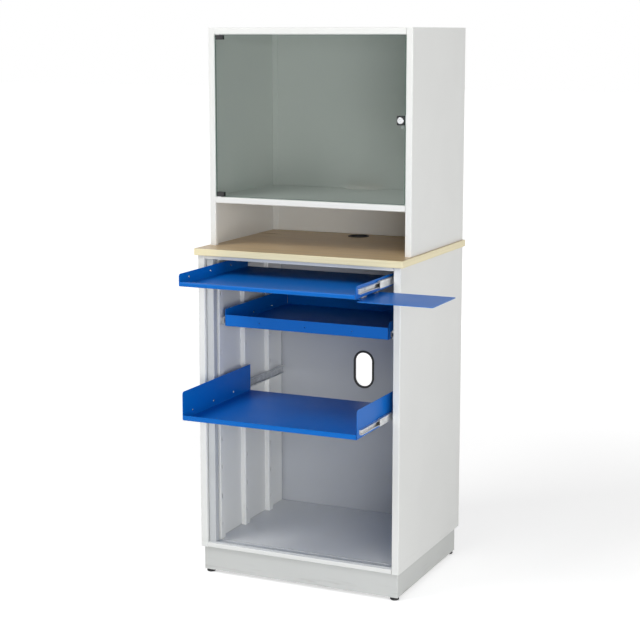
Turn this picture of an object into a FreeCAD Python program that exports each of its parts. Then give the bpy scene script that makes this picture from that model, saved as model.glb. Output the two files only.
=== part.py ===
import FreeCAD, Part
import math
import os

# Computer cabinet: a sheet-steel base with pull-outs under a wooden worktop, and a glazed screen
# housing on top. Millimetres. X runs to the right seen from the front, Y to the back, Z up.
# The origin is on the floor, in the middle of the base's footprint.

# Overall sizes
BODY_WIDTH = 650.0
BODY_DEPTH = 520.0
BODY_HEIGHT = 901.0
HOUSING_HEIGHT = 648.0
HOUSING_SETBACK = 79.0

# Sheet steel
SHEET = 1.5
BEND = 3.0
JOINT_GAP = 0.3
CUT_OVERRUN = 5.0

# Feet and plinth
FOOT_CLEARANCE = 10.0
FOOT_DIAMETER = 26.0
FOOT_PAD_HEIGHT = 7.0
FOOT_NECK_DIAMETER = 13.0
FOOT_STUD_DIAMETER = 8.0
FOOT_STUD_REACH = 32.0
FOOT_INSET = 15.0
FOOT_EDGE_RADIUS = 2.0
NUT_ACROSS_FLATS = 13.0
NUT_HEIGHT = 6.5
THREAD_GAP = 0.05
PLINTH_HEIGHT = 74.0
PLINTH_SIDE_INSET = 6.0
PLINTH_FRONT_INSET = 11.0
PLINTH_REAR_INSET = 21.0
PLINTH_TOP_FLANGE = 20.0
PLINTH_BOTTOM_FLANGE = 34.0

# Base carcass
STILE_FACE = 22.0
RETURN_LIP = 14.0
REAR_POST_FACE = 20.0
REAR_POST_DEPTH = 15.0
SILL_FACE = 14.0
RAIL_FACE = 10.0
RAIL_FLANGE = 32.0
REAR_RAIL_FACE = 30.0
REAR_RAIL_FLANGE = 18.0
BACK_FLANGE = 10.0
CABLE_OPENING_WIDTH = 63.0
CABLE_OPENING_HEIGHT = 116.0
CABLE_OPENING_RISE = 469.0
TRIM_INSIDE = 3.0
TRIM_OUTSIDE = 4.0
TRIM_WALL = 1.6

# Roller shutter, parked in the left wall
SHUTTER_RECESS = 9.0
BAR_WIDTH = 23.5
BAR_DEPTH = 23.0
BAR_WALL = 2.0
BAR_RADIUS = 2.5
BAR_GAP = 1.5
TRACK_BASE = 1.5
TRACK_RIB = 1.2
TRACK_RIB_HEIGHT = 4.0
TRACK_GAP = 0.8
TRACK_SETBACK_REAR = 8.0
SLAT_THICKNESS = 6.0
SLAT_PITCH = 14.0
SLAT_GAP = 0.6
SLAT_RADIUS = 1.5
SLAT_RUN_START = 44.0
SLAT_REAR_ROOM = 20.0
INNER_RUN_COUNT = 8
OUTER_RUN_INSET = 10.0
INNER_RUN_INSET = 24.0

# Uprights and the inner wall that closes the shutter pocket
POCKET_WIDTH = 33.0
LEFT_UPRIGHT_DEPTH = 14.5
RIGHT_UPRIGHT_DEPTH = 25.5
UPRIGHT_WIDTH = 30.0
UPRIGHT_SETBACK = 40.0
SLIDE_REAR_OVERHANG = 88.0
UPRIGHT_COUNT = 3
SLOT_WIDTH = 5.0
SLOT_HEIGHT = 14.0
SLOT_PITCH = 90.0
SLOT_START = 47.0
SLOT_SETBACK = 10.0
POCKET_WALL_SETBACK = 36.0
POCKET_WALL_FLANGE = 12.0

# Worktop
WORKTOP_THICKNESS = 20.0
WORKTOP_SIDE_OVERHANG = 9.0
WORKTOP_FRONT_OVERHANG = 9.0
EDGE_BAND = 2.0
EDGE_BAND_ROUNDING = 1.2
WORKTOP_CORNER = 4.0
GROMMET_BORE = 56.0
GROMMET_FLANGE = 3.5
GROMMET_FLANGE_HEIGHT = 2.0
GROMMET_WALL = 2.0
GROMMET_GAP = 0.1
GROMMET_REAR_DISTANCE = 63.0

# Screen housing
EDGE_FACE = 20.0
SHELF_LIFT = 147.0
SHELF_FACE = 18.5
SHELF_REAR_FLANGE = 16.0
CABLE_NOTCH_WIDTH = 120.0
CABLE_NOTCH_DEPTH = 40.0
CABLE_NOTCH_RADIUS = 12.0

# Glass door, its pivot hinges and its lock
GLASS_THICKNESS = 5.0
GLASS_RECESS = 3.5
GLASS_LEFT_GAP = 1.0
GLASS_RIGHT_GAP = 3.5
GLASS_END_GAP = 1.6
GLASS_CORNER = 2.0
CLAMP_WIDTH = 22.5
CLAMP_HEIGHT = 13.5
CLAMP_PLATE = 3.0
CLAMP_LEFT_GAP = 4.5
CLAMP_RADIUS = 1.5
PIVOT_INSET = 12.0
PIN_DIAMETER = 5.0
PIN_GAP = 0.05
PIN_REACH = 6.0
BUSH_WALL = 1.6
BUSH_STAND = 1.0
BUSH_GAP = 0.02
LOCK_JAMB_DISTANCE = 16.0
LOCK_PLATE_WIDTH = 23.0
LOCK_PLATE_HEIGHT = 27.0
LOCK_PLATE = 3.0
LOCK_PLATE_RADIUS = 4.0
LOCK_BARREL = 14.0
LOCK_BARREL_GAP = 0.05
LOCK_SLEEVE_WALL = 1.0
LOCK_HEAD = 19.0
LOCK_HEAD_HEIGHT = 2.4
LOCK_HEAD_ROUNDING = 0.8
LOCK_HEAD_GAP = 0.1
KEYWAY_WIDTH = 1.8
KEYWAY_HEIGHT = 8.0
KEYWAY_DEPTH = 6.0
CAM_CLEARANCE = 1.5
CAM_THICKNESS = 2.0
CAM_WIDTH = 9.0
CAM_REACH = 24.0
STRIKE_THICKNESS = 1.4
STRIKE_HEIGHT = 30.0

# Telescopic slides: outer, middle and inner member
SLIDE_LENGTH = 420.0
SLIDE_THICKNESS = 13.0
SLIDE_SETBACK = 50.0
SLIDE_HEIGHT = 24.0
SLIDE_WALL = 1.2
SLIDE_RUN_GAP = 0.4
SLIDE_RACE = 2.8
SLIDE_WEB_GAP = 0.6
SLIDE_OUTER_REACH = 9.0
SLIDE_MIDDLE_REACH = 10.0
SLIDE_INNER_REACH = 9.0
SLIDE_HOLE = 5.0
SLIDE_HOLE_SPACING = 128.0
SLIDE_HOLE_COUNT = 3
SLIDE_HOLE_START = 44.0

# Pull-outs
TRAY_DEPTH = 430.0
TRAY_SETBACK = 34.0
TRAY_CORNER = 8.0
KEYBOARD_OUT = 261.0
KEYBOARD_DROP = 48.5
KEYBOARD_LIP = 13.0
KEYBOARD_HEM = 10.0
KEYBOARD_HEM_BEND = 4.5
KEYBOARD_WALL = 35.5
KEYBOARD_SLIDE_RISE = 20.0
PRINTER_OUT = 250.0
PRINTER_DROP = 235.5
PRINTER_LIP = 15.0
PRINTER_WALL = 83.5
PRINTER_SLIDE_RISE = 19.0
DRAWER_SPACER = 8.5
DRAWER_DROP = 157.5
DRAWER_FRONT = 35.0
DRAWER_WALL = 51.0
DRAWER_SLIDE_RISE = 13.0
DRAWER_HOLE = 4.0
DRAWER_HOLE_SPACING = 150.0
DRAWER_HOLE_RISE = 16.5
DRAWER_HOLE_COUNT = 3

# Mouse tray, hung on studs in two rails under the keyboard tray
MOUSE_PLATE = 2.0
MOUSE_REACH = 222.0
MOUSE_DEPTH = 180.0
MOUSE_FRONT_INSET = 1.0
MOUSE_CORNER = 6.0
MOUSE_SIDE_GAP = 2.0
MOUSE_TONGUE_LENGTH = 52.0
MOUSE_TONGUE_INSET = 45.0
MOUSE_RAIL_WIDTH = 22.0
MOUSE_RAIL_HEIGHT = 5.0
MOUSE_RAIL_WALL = 1.0
MOUSE_RAIL_SLIT = 8.0
MOUSE_RAIL_GAP = 0.3
MOUSE_RAIL_MARGIN = 14.0
MOUSE_RAIL_LENGTH = 268.0
STUD_HEAD = 14.0
STUD_HEAD_HEIGHT = 2.2
STUD_NECK = 6.0
STUD_SPACING = 28.0

# Screws
SCREW_DIAMETER = 4.0
SCREW_HEAD = 7.0
SCREW_HEAD_HEIGHT = 1.6
BACK_SCREW_COUNT = 4

# Levels and planes that follow from the sizes above
SIDE = BODY_WIDTH / 2
FRONT = -BODY_DEPTH / 2
REAR = BODY_DEPTH / 2
BODY_BASE = FOOT_CLEARANCE + PLINTH_HEIGHT
BODY_TOP = BODY_BASE + BODY_HEIGHT
FLOOR_TOP = BODY_BASE + SILL_FACE
OPENING_TOP = BODY_TOP - RAIL_FACE
WORKTOP_TOP = BODY_TOP + WORKTOP_THICKNESS
HOUSING_TOP = WORKTOP_TOP + HOUSING_HEIGHT
HOUSING_FRONT = FRONT + HOUSING_SETBACK
SHELF_TOP = WORKTOP_TOP + SHELF_LIFT
GLASS_OPENING_TOP = HOUSING_TOP - EDGE_FACE
POST_FRONT = REAR - REAR_POST_DEPTH
BACK_FRONT = POST_FRONT + JOINT_GAP
POCKET_FACE = -SIDE + SHEET + POCKET_WIDTH
LEFT_FACE = POCKET_FACE + LEFT_UPRIGHT_DEPTH
RIGHT_FACE = SIDE - SHEET - RIGHT_UPRIGHT_DEPTH
COMPARTMENT_OFFSET = (LEFT_FACE + RIGHT_FACE) / 2
TRAY_WIDTH = RIGHT_FACE - LEFT_FACE - SLIDE_THICKNESS * 2
DRAWER_WIDTH = TRAY_WIDTH - DRAWER_SPACER * 2
UPRIGHT_SPACING = (SLIDE_LENGTH - SLIDE_REAR_OVERHANG) / (UPRIGHT_COUNT - 1)
KEYBOARD_BASE = OPENING_TOP - KEYBOARD_DROP
DRAWER_BASE = KEYBOARD_BASE - DRAWER_DROP
PRINTER_BASE = DRAWER_BASE - PRINTER_DROP

V = FreeCAD.Vector
UP = V(0, 0, 1)
BACKWARD = V(0, 1, 0)
HALF_TURN = math.pi


def rounded_wire(points, radii):
    """Closed wire through the points, with an arc of the given radius at each one."""
    ends = []
    edges = []
    count = len(points)
    for index, corner in enumerate(points):
        radius = radii[index]
        before = (points[index - 1] - corner).normalize()
        after = (points[(index + 1) % count] - corner).normalize()
        if radius <= 0:
            ends.append((corner, corner))
            continue
        half = before.getAngle(after) / 2
        run = radius / math.tan(half)
        bisector = (before + after).normalize()
        middle = corner + bisector * (radius / math.sin(half) - radius)
        start = corner + before * run
        end = corner + after * run
        edges.append(Part.Arc(start, middle, end).toShape())
        ends.append((start, end))
    for index in range(count):
        start = ends[index][1]
        end = ends[(index + 1) % count][0]
        if start.distanceToPoint(end) > Part.Precision.confusion():
            edges.append(Part.LineSegment(start, end).toShape())
    return Part.Wire(Part.__sortEdges__(edges))


def prism(outline, axis, low, high):
    """Solid of a flat outline, given as points and radii, drawn along an axis from low to high."""
    points, radii = outline
    lift = {
        "x": lambda a, b: V(low, a, b),
        "y": lambda a, b: V(a, low, b),
        "z": lambda a, b: V(a, b, low),
    }[axis]
    reach = {"x": V(high - low, 0, 0), "y": V(0, high - low, 0), "z": V(0, 0, high - low)}[axis]
    wire = rounded_wire([lift(a, b) for a, b in points], radii)
    return Part.Face(wire).extrude(reach)


def rectangle(low, high, radius=0):
    """Outline of a rectangle between two corners."""
    points = [(low[0], low[1]), (high[0], low[1]), (high[0], high[1]), (low[0], high[1])]
    return points, [radius] * len(points)


def block(x, y, z):
    """Box between the low and high ends of three ranges."""
    return Part.makeBox(x[1] - x[0], y[1] - y[0], z[1] - z[0], V(x[0], y[0], z[0]))


def folded(path, bends=None, sheet=SHEET):
    """Outline of a folded sheet: its outer face follows the path, its metal lies on the right."""
    bends = bends or [BEND] * (len(path) - 2)
    offset = []
    radii = [0]
    inner_radii = [0]
    rights = []
    for (ax, ay), (bx, by) in zip(path, path[1:]):
        length = math.hypot(bx - ax, by - ay)
        rights.append(((by - ay) / length, (ax - bx) / length))
    offset.append((path[0][0] + rights[0][0] * sheet, path[0][1] + rights[0][1] * sheet))
    for index, bend in enumerate(bends):
        first, second = rights[index], rights[index + 1]
        share = sheet / (1 + first[0] * second[0] + first[1] * second[1])
        x, y = path[index + 1]
        offset.append((x + (first[0] + second[0]) * share, y + (first[1] + second[1]) * share))
        inner = max(bend - sheet, 0)
        turns_right = first[0] * second[1] - first[1] * second[0] < 0
        radii.append(bend if turns_right else inner)
        inner_radii.append(inner if turns_right else bend)
    offset.append((path[-1][0] + rights[-1][0] * sheet, path[-1][1] + rights[-1][1] * sheet))
    radii.append(0)
    inner_radii.append(0)
    return list(path) + offset[::-1], radii + inner_radii[::-1]


def mirrored(shape):
    """The same piece on the other side of the cabinet's middle plane."""
    return shape.mirror(V(0, 0, 0), V(1, 0, 0))


def shifted(shape, x=0, y=0, z=0):
    """A copy of the shape, moved."""
    copy = shape.copy()
    copy.translate(V(x, y, z))
    return copy


def joined(first, *others):
    """One solid from pieces of the same sheet."""
    return first.fuse(list(others)).removeSplitter()


def drill(diameter, base, direction, depth):
    """Cylinder that starts at a point and runs along a direction."""
    return Part.makeCylinder(diameter / 2, depth, base, direction)


def save(name, *solids):
    """Write one node, made of one solid or of a group of like solids."""
    shape = solids[0] if len(solids) == 1 else Part.makeCompound(list(solids))
    shape.exportStep(os.path.join("parts", name + ".step"))


def pan_screw(base, direction, reach):
    """Pan-head screw whose head stands on the given point and whose shank runs behind it."""
    head = drill(SCREW_HEAD, base, direction, SCREW_HEAD_HEIGHT)
    shank = drill(SCREW_DIAMETER, base, direction * -1, reach)
    return head.fuse(shank).removeSplitter()


# Plinth with its levelling feet
def plinth():
    """Welded ring of sheet with a flange above and a wider one below, which holds the feet."""
    half = SIDE - PLINTH_SIDE_INSET
    front, rear = FRONT + PLINTH_FRONT_INSET, REAR - PLINTH_REAR_INSET

    def ring(width, low, high):
        outer = prism(rectangle((-half, front), (half, rear), BEND), "z", low, high)
        inside = rectangle((-half + width, front + width), (half - width, rear - width))
        return outer.cut(prism(inside, "z", low, high))

    base, top = FOOT_CLEARANCE, BODY_BASE
    wall = ring(SHEET, base, top)
    lower_flange = ring(PLINTH_BOTTOM_FLANGE, base, base + SHEET)
    upper_flange = ring(PLINTH_TOP_FLANGE, top - SHEET, top)
    frame = joined(wall, lower_flange, upper_flange)
    for x, y in foot_places():
        bore = FOOT_STUD_DIAMETER + THREAD_GAP * 2
        frame = frame.cut(drill(bore, V(x, y, base - CUT_OVERRUN), UP, SHEET + CUT_OVERRUN * 2))
    return frame


def foot_places():
    """The four corners of the plinth where a foot stands."""
    x = SIDE - PLINTH_SIDE_INSET - FOOT_INSET
    front = FRONT + PLINTH_FRONT_INSET + FOOT_INSET
    rear = REAR - PLINTH_REAR_INSET - FOOT_INSET
    return [(-x, front), (x, front), (-x, rear), (x, rear)]


def foot(x, y):
    """Moulded glide with a neck and a threaded stud."""
    pad = drill(FOOT_DIAMETER, V(x, y, 0), UP, FOOT_PAD_HEIGHT)
    pad = pad.makeFillet(FOOT_EDGE_RADIUS, [edge for edge in pad.Edges if len(edge.Vertexes) == 1])
    neck = drill(FOOT_NECK_DIAMETER, V(x, y, 0), UP, FOOT_CLEARANCE)
    stud = drill(FOOT_STUD_DIAMETER, V(x, y, 0), UP, FOOT_CLEARANCE + FOOT_STUD_REACH)
    return joined(pad, neck, stud)


def foot_nut(x, y):
    """Hexagon nut that clamps a foot's stud to the plinth's lower flange."""
    radius = NUT_ACROSS_FLATS / math.sqrt(3)
    corners = [k * HALF_TURN / 3 for k in range(6)]
    points = [(x + radius * math.cos(a), y + radius * math.sin(a)) for a in corners]
    low = FOOT_CLEARANCE + SHEET
    nut = prism((points, [0] * len(points)), "z", low, low + NUT_HEIGHT)
    bore = FOOT_STUD_DIAMETER + THREAD_GAP * 2
    return nut.cut(drill(bore, V(x, y, low - CUT_OVERRUN), UP, NUT_HEIGHT + CUT_OVERRUN * 2))


# Side panels of the base and of the housing
def side_panel(front, face, low, high):
    """Left side, folded from one sheet: front face with a lip, skin, and a box post at the rear."""
    path = [
        (-SIDE + face, front + RETURN_LIP),
        (-SIDE + face, front),
        (-SIDE, front),
        (-SIDE, REAR),
        (-SIDE + REAR_POST_FACE, REAR),
        (-SIDE + REAR_POST_FACE, POST_FRONT),
        (-SIDE + SHEET + JOINT_GAP, POST_FRONT),
    ]
    return prism(folded(path), "z", low, high)


# Base carcass
def lower_floor():
    """Floor pan with the sill that shows under the opening."""
    half = SIDE - STILE_FACE - JOINT_GAP
    rear = POST_FRONT - JOINT_GAP
    path = [
        (FRONT + RETURN_LIP, BODY_BASE),
        (FRONT, BODY_BASE),
        (FRONT, FLOOR_TOP),
        (rear, FLOOR_TOP),
        (rear, BODY_BASE),
        (rear - RETURN_LIP, BODY_BASE),
    ]
    pan = prism(folded(path), "x", -half, half)
    inner = SIDE - SHEET - JOINT_GAP
    depth = (FRONT + RETURN_LIP + JOINT_GAP * 2, rear - SHEET)
    height = (FLOOR_TOP - SHEET, FLOOR_TOP)
    return joined(pan, block((-inner, -half), depth, height), block((half, inner), depth, height))


def front_rail():
    """Angle over the opening; the worktop is screwed to its flange."""
    half = SIDE - STILE_FACE - JOINT_GAP
    path = [(FRONT, OPENING_TOP), (FRONT, BODY_TOP), (FRONT + RAIL_FLANGE, BODY_TOP)]
    return prism(folded(path), "x", -half, half)


def rear_rail():
    """Angle that ties the sides together at the top of the back."""
    rear = POST_FRONT - JOINT_GAP
    path = [(rear - REAR_RAIL_FLANGE, BODY_TOP), (rear, BODY_TOP), (rear, BODY_TOP - REAR_RAIL_FACE)]
    return prism(folded(path), "x", POCKET_FACE + JOINT_GAP, SIDE - SHEET - JOINT_GAP)


def cable_opening(width, height, low, high):
    """Upright slot with round ends in the middle of the base's back, drawn through a depth."""
    centre = FLOOR_TOP + CABLE_OPENING_RISE
    straight = (height - width) / 2
    middle = block((-width / 2, width / 2), (low, high), (centre - straight, centre + straight))
    upper = drill(width, V(0, low, centre + straight), BACKWARD, high - low)
    lower = drill(width, V(0, low, centre - straight), BACKWARD, high - low)
    return joined(middle, upper, lower)


def back_panel(half, low, high):
    """Back pan between the rear posts, with a flange on all four sides."""
    path = [
        (BACK_FRONT + BACK_FLANGE, low),
        (BACK_FRONT, low),
        (BACK_FRONT, high),
        (BACK_FRONT + BACK_FLANGE, high),
    ]
    pan = prism(folded(path), "x", -half, half)
    depth = (BACK_FRONT, BACK_FRONT + BACK_FLANGE)
    side = block((-half, -half + SHEET), depth, (low + BEND, high - BEND))
    return joined(pan, side, mirrored(side))


def back_half():
    """Half the width of a back pan."""
    return SIDE - REAR_POST_FACE - JOINT_GAP


def lower_back_panel():
    """Back of the base with its cable opening."""
    panel = back_panel(back_half(), BODY_BASE, BODY_TOP)
    front, rear = BACK_FRONT - CUT_OVERRUN, BACK_FRONT + SHEET + CUT_OVERRUN
    return panel.cut(cable_opening(CABLE_OPENING_WIDTH, CABLE_OPENING_HEIGHT, front, rear))


def back_opening_trim():
    """Edge profile pressed on the rim of the cable opening."""
    width, height = CABLE_OPENING_WIDTH, CABLE_OPENING_HEIGHT
    front, rear = BACK_FRONT - TRIM_WALL, BACK_FRONT + SHEET + TRIM_WALL
    ring = cable_opening(width + TRIM_OUTSIDE * 2, height + TRIM_OUTSIDE * 2, front, rear)
    hole = cable_opening(
        width - TRIM_INSIDE * 2, height - TRIM_INSIDE * 2, front - CUT_OVERRUN, rear + CUT_OVERRUN
    )
    wide, tall = width + TRIM_OUTSIDE * 4, height + TRIM_OUTSIDE * 4
    groove = cable_opening(wide, tall, BACK_FRONT, BACK_FRONT + SHEET)
    lip = cable_opening(width, height, BACK_FRONT, BACK_FRONT + SHEET)
    return ring.cut(hole).cut(groove.cut(lip)).removeSplitter()


# Roller shutter
def shutter_channel():
    """Front and rear plane of the track that the shutter's end bar runs in."""
    front = FRONT + SHUTTER_RECESS - TRACK_GAP - TRACK_RIB
    rear = FRONT + SHUTTER_RECESS + BAR_DEPTH + TRACK_GAP + TRACK_RIB
    return front, rear


def shutter_track(low, high, ribs):
    """Strip behind the sill or the rail, with a rib along each edge for the end bar."""
    front, rear = shutter_channel()
    half = SIDE - STILE_FACE - JOINT_GAP
    strip = block((-half, half), (front, rear), (low, high))
    first = block((-half, half), (front, front + TRACK_RIB), ribs)
    second = block((-half, half), (rear - TRACK_RIB, rear), ribs)
    return joined(strip, first, second)


def bottom_track():
    """Lower track, with the strip that the parked slats stand on."""
    low = FLOOR_TOP
    track = shutter_track(low, low + TRACK_BASE, (low, low + TRACK_RIB_HEIGHT))
    x = (-SIDE + SHEET + JOINT_GAP, POCKET_FACE - SHEET - JOINT_GAP)
    front = FRONT + RETURN_LIP + JOINT_GAP * 2
    pocket = block(x, (front, POST_FRONT - TRACK_SETBACK_REAR), (low, low + TRACK_BASE))
    return joined(track, pocket)


def top_track():
    """Upper track under the rail's flange, open downwards."""
    high = BODY_TOP - SHEET
    return shutter_track(high - TRACK_BASE, high, (OPENING_TOP, high))


def end_bar():
    """Hollow bar that closes the shutter's front edge and shows beside the left stile."""
    left = -SIDE + STILE_FACE + BAR_GAP
    front = FRONT + SHUTTER_RECESS
    low, high = FLOOR_TOP + TRACK_BASE + JOINT_GAP, BODY_TOP - SHEET - TRACK_BASE - JOINT_GAP
    right, rear = left + BAR_WIDTH, front + BAR_DEPTH
    outer = prism(rectangle((left, front), (right, rear), BAR_RADIUS), "z", low, high)
    inside = rectangle((left + BAR_WALL, front + BAR_WALL), (right - BAR_WALL, rear - BAR_WALL))
    return outer.cut(prism(inside, "z", low, high))


def slat_run(inset, start, count):
    """Row of slats standing one behind the other, counted from the front."""
    low, high = FLOOR_TOP + TRACK_BASE + JOINT_GAP, OPENING_TOP
    left = -SIDE + inset - SLAT_THICKNESS / 2
    slats = []
    for index in range(count):
        front = start + index * SLAT_PITCH
        ends = rectangle((left, front), (left + SLAT_THICKNESS, front + SLAT_PITCH - SLAT_GAP), SLAT_RADIUS)
        slats.append(prism(ends, "z", low, high))
    return slats


# Inner wall of the pocket and the uprights that carry the slides
def pocket_wall():
    """Sheet between the shutter pocket and the compartment, with a flange at each end."""
    front, rear = FRONT + POCKET_WALL_SETBACK, POST_FRONT - TRACK_SETBACK_REAR
    path = [
        (POCKET_FACE - POCKET_WALL_FLANGE, front),
        (POCKET_FACE, front),
        (POCKET_FACE, rear),
        (POCKET_FACE - POCKET_WALL_FLANGE, rear),
    ]
    return prism(folded(path[::-1]), "z", FLOOR_TOP + TRACK_BASE, BODY_TOP)


def upright(face, back, front):
    """Slotted channel whose open side lies against the wall that carries it."""
    rear = front + UPRIGHT_WIDTH
    path = [(back, front), (face, front), (face, rear), (back, rear)]
    outline = folded(path[::-1] if face > back else path)
    post = prism(outline, "z", FLOOR_TOP, OPENING_TOP)
    low = FLOOR_TOP + SLOT_START
    centre = front + SLOT_SETBACK
    count = int((OPENING_TOP - low - SLOT_HEIGHT) // SLOT_PITCH) + 1
    for index in range(count):
        z = low + index * SLOT_PITCH
        low_corner = (centre - SLOT_WIDTH / 2, z - SLOT_HEIGHT / 2)
        high_corner = (centre + SLOT_WIDTH / 2, z + SLOT_HEIGHT / 2)
        slot = rectangle(low_corner, high_corner)
        post = post.cut(prism(slot, "x", face - SHEET * 2, face + SHEET * 2))
    return post


# Worktop
def worktop_edges():
    """Left, right, front and rear limits of the worktop."""
    half = SIDE + WORKTOP_SIDE_OVERHANG
    return (-half, FRONT - WORKTOP_FRONT_OVERHANG), (half, REAR)


def grommet_centre(z):
    """Middle of the cable grommet at a level."""
    return V(0, REAR - GROMMET_REAR_DISTANCE, z)


def worktop():
    """Faced board with the hole for the cable grommet."""
    (left, front), (right, rear) = worktop_edges()
    inset = EDGE_BAND
    corner = WORKTOP_CORNER - EDGE_BAND
    outline = rectangle((left + inset, front + inset), (right - inset, rear - inset), corner)
    board = prism(outline, "z", BODY_TOP, WORKTOP_TOP)
    hole = GROMMET_BORE + GROMMET_WALL * 2 + GROMMET_GAP * 2
    depth = WORKTOP_THICKNESS + CUT_OVERRUN * 2
    return board.cut(drill(hole, grommet_centre(BODY_TOP - CUT_OVERRUN), UP, depth))


def worktop_edge_band():
    """Thick plastic edging round the board, with eased edges."""
    low, high = worktop_edges()
    band = prism(rectangle(low, high, WORKTOP_CORNER), "z", BODY_TOP, WORKTOP_TOP)
    band = band.makeFillet(EDGE_BAND_ROUNDING, band.Faces[-1].Edges + band.Faces[-2].Edges)
    inner_low = (low[0] + EDGE_BAND, low[1] + EDGE_BAND)
    inner_high = (high[0] - EDGE_BAND, high[1] - EDGE_BAND)
    inside = rectangle(inner_low, inner_high, WORKTOP_CORNER - EDGE_BAND)
    return band.cut(prism(inside, "z", BODY_TOP - CUT_OVERRUN, WORKTOP_TOP + CUT_OVERRUN))


def cable_grommet():
    """Round liner with a flange that lies on the worktop."""
    tube = GROMMET_BORE + GROMMET_WALL * 2
    low = grommet_centre(BODY_TOP)
    body = drill(tube, low, UP, WORKTOP_THICKNESS)
    flange = drill(tube + GROMMET_FLANGE * 2, grommet_centre(WORKTOP_TOP), UP, GROMMET_FLANGE_HEIGHT)
    rim = [edge for edge in flange.Edges if edge.BoundBox.ZMin > WORKTOP_TOP + GROMMET_FLANGE_HEIGHT / 2]
    flange = flange.makeFillet(GROMMET_FLANGE_HEIGHT / 2, rim)
    depth = WORKTOP_THICKNESS + GROMMET_FLANGE_HEIGHT + CUT_OVERRUN * 2
    bore = drill(GROMMET_BORE, grommet_centre(BODY_TOP - CUT_OVERRUN), UP, depth)
    return joined(body, flange).cut(bore)


# Screen housing
def housing_top():
    """Lid: a sheet over both sides, with a front face between the stiles and a flange behind."""
    half = SIDE - EDGE_FACE - JOINT_GAP
    path = [
        (HOUSING_FRONT + RETURN_LIP, GLASS_OPENING_TOP),
        (HOUSING_FRONT, GLASS_OPENING_TOP),
        (HOUSING_FRONT, HOUSING_TOP),
        (REAR, HOUSING_TOP),
        (REAR, GLASS_OPENING_TOP),
    ]
    lid = prism(folded(path), "x", -half, half)
    height = (HOUSING_TOP - SHEET, HOUSING_TOP)
    depth = (HOUSING_FRONT, REAR)
    left = block((-SIDE, -half), depth, height)
    boxes = [(edge, edge.BoundBox) for edge in left.Edges]
    outer = [(edge, box) for edge, box in boxes if box.XMax < -SIDE + SHEET and box.YLength > SHEET]
    left = left.makeFillet(SHEET / 2, [edge for edge, box in outer if box.ZMin > HOUSING_TOP - SHEET / 2])
    return joined(lid, left, mirrored(left)).cut(bush_hole(GLASS_OPENING_TOP))


def monitor_shelf():
    """Shelf pan with a front face between the stiles and a cable notch at the rear."""
    half = SIDE - EDGE_FACE - JOINT_GAP
    rear = POST_FRONT - JOINT_GAP
    low = SHELF_TOP - SHELF_FACE
    path = [
        (HOUSING_FRONT + RETURN_LIP, low),
        (HOUSING_FRONT, low),
        (HOUSING_FRONT, SHELF_TOP),
        (rear, SHELF_TOP),
        (rear, SHELF_TOP - SHELF_REAR_FLANGE),
    ]
    pan = prism(folded(path), "x", -half, half)
    inner = SIDE - SHEET - JOINT_GAP
    depth = (HOUSING_FRONT + RETURN_LIP + JOINT_GAP * 2, rear - SHEET)
    height = (SHELF_TOP - SHEET, SHELF_TOP)
    pan = joined(pan, block((-inner, -half), depth, height), block((half, inner), depth, height))
    corner = (CABLE_NOTCH_WIDTH / 2, rear - CABLE_NOTCH_DEPTH)
    notch = rectangle((-corner[0], corner[1]), (corner[0], rear + CABLE_NOTCH_DEPTH), CABLE_NOTCH_RADIUS)
    pan = pan.cut(prism(notch, "z", low - CUT_OVERRUN, SHELF_TOP + CUT_OVERRUN))
    return pan.cut(bush_hole(SHELF_TOP))


# Glass door
def glass_plane():
    """Front and rear plane of the glass."""
    front = HOUSING_FRONT + GLASS_RECESS
    return front, front + GLASS_THICKNESS


def glass_edges():
    """Left, right, lower and upper edge of the glass."""
    left = -SIDE + EDGE_FACE + GLASS_LEFT_GAP
    right = SIDE - EDGE_FACE - GLASS_RIGHT_GAP
    return left, right, SHELF_TOP + GLASS_END_GAP, GLASS_OPENING_TOP - GLASS_END_GAP


def pivot(z):
    """Point of the door's pivot line at a level."""
    front, rear = glass_plane()
    return V(-SIDE + EDGE_FACE + PIVOT_INSET, (front + rear) / 2, z)


def lock_axis(y):
    """Point of the lock's axis at a depth."""
    _, _, low, high = glass_edges()
    return V(SIDE - EDGE_FACE - LOCK_JAMB_DISTANCE, y, (low + high) / 2)


def bush_hole(level):
    """Hole in the shelf or in the lid's lip for a pivot bush."""
    bore = PIN_DIAMETER + (PIN_GAP + BUSH_WALL + BUSH_GAP) * 2
    return drill(bore, pivot(level - SHEET * 2), UP, SHEET * 4)


def glass_door():
    """Tinted safety glass with the lock's hole."""
    front, rear = glass_plane()
    left, right, low, high = glass_edges()
    pane = prism(rectangle((left, low), (right, high), GLASS_CORNER), "y", front, rear)
    hole = LOCK_BARREL + (LOCK_BARREL_GAP + LOCK_SLEEVE_WALL) * 2 + JOINT_GAP * 2
    return pane.cut(drill(hole, lock_axis(front - CUT_OVERRUN), BACKWARD, GLASS_THICKNESS + CUT_OVERRUN * 2))


def hinge_clamp(low):
    """Clip that grips a corner of the glass between two cheeks and holds a pivot pin."""
    front, rear = glass_plane()
    left = glass_edges()[0] + CLAMP_LEFT_GAP
    corners = ((left, low), (left + CLAMP_WIDTH, low + CLAMP_HEIGHT))
    clip = prism(rectangle(*corners, CLAMP_RADIUS), "y", front - CLAMP_PLATE, rear + CLAMP_PLATE)
    x = (left - CUT_OVERRUN, left + CLAMP_WIDTH + CUT_OVERRUN)
    return clip.cut(block(x, (front, rear), (low - CUT_OVERRUN, low + CLAMP_HEIGHT + CUT_OVERRUN)))


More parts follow.
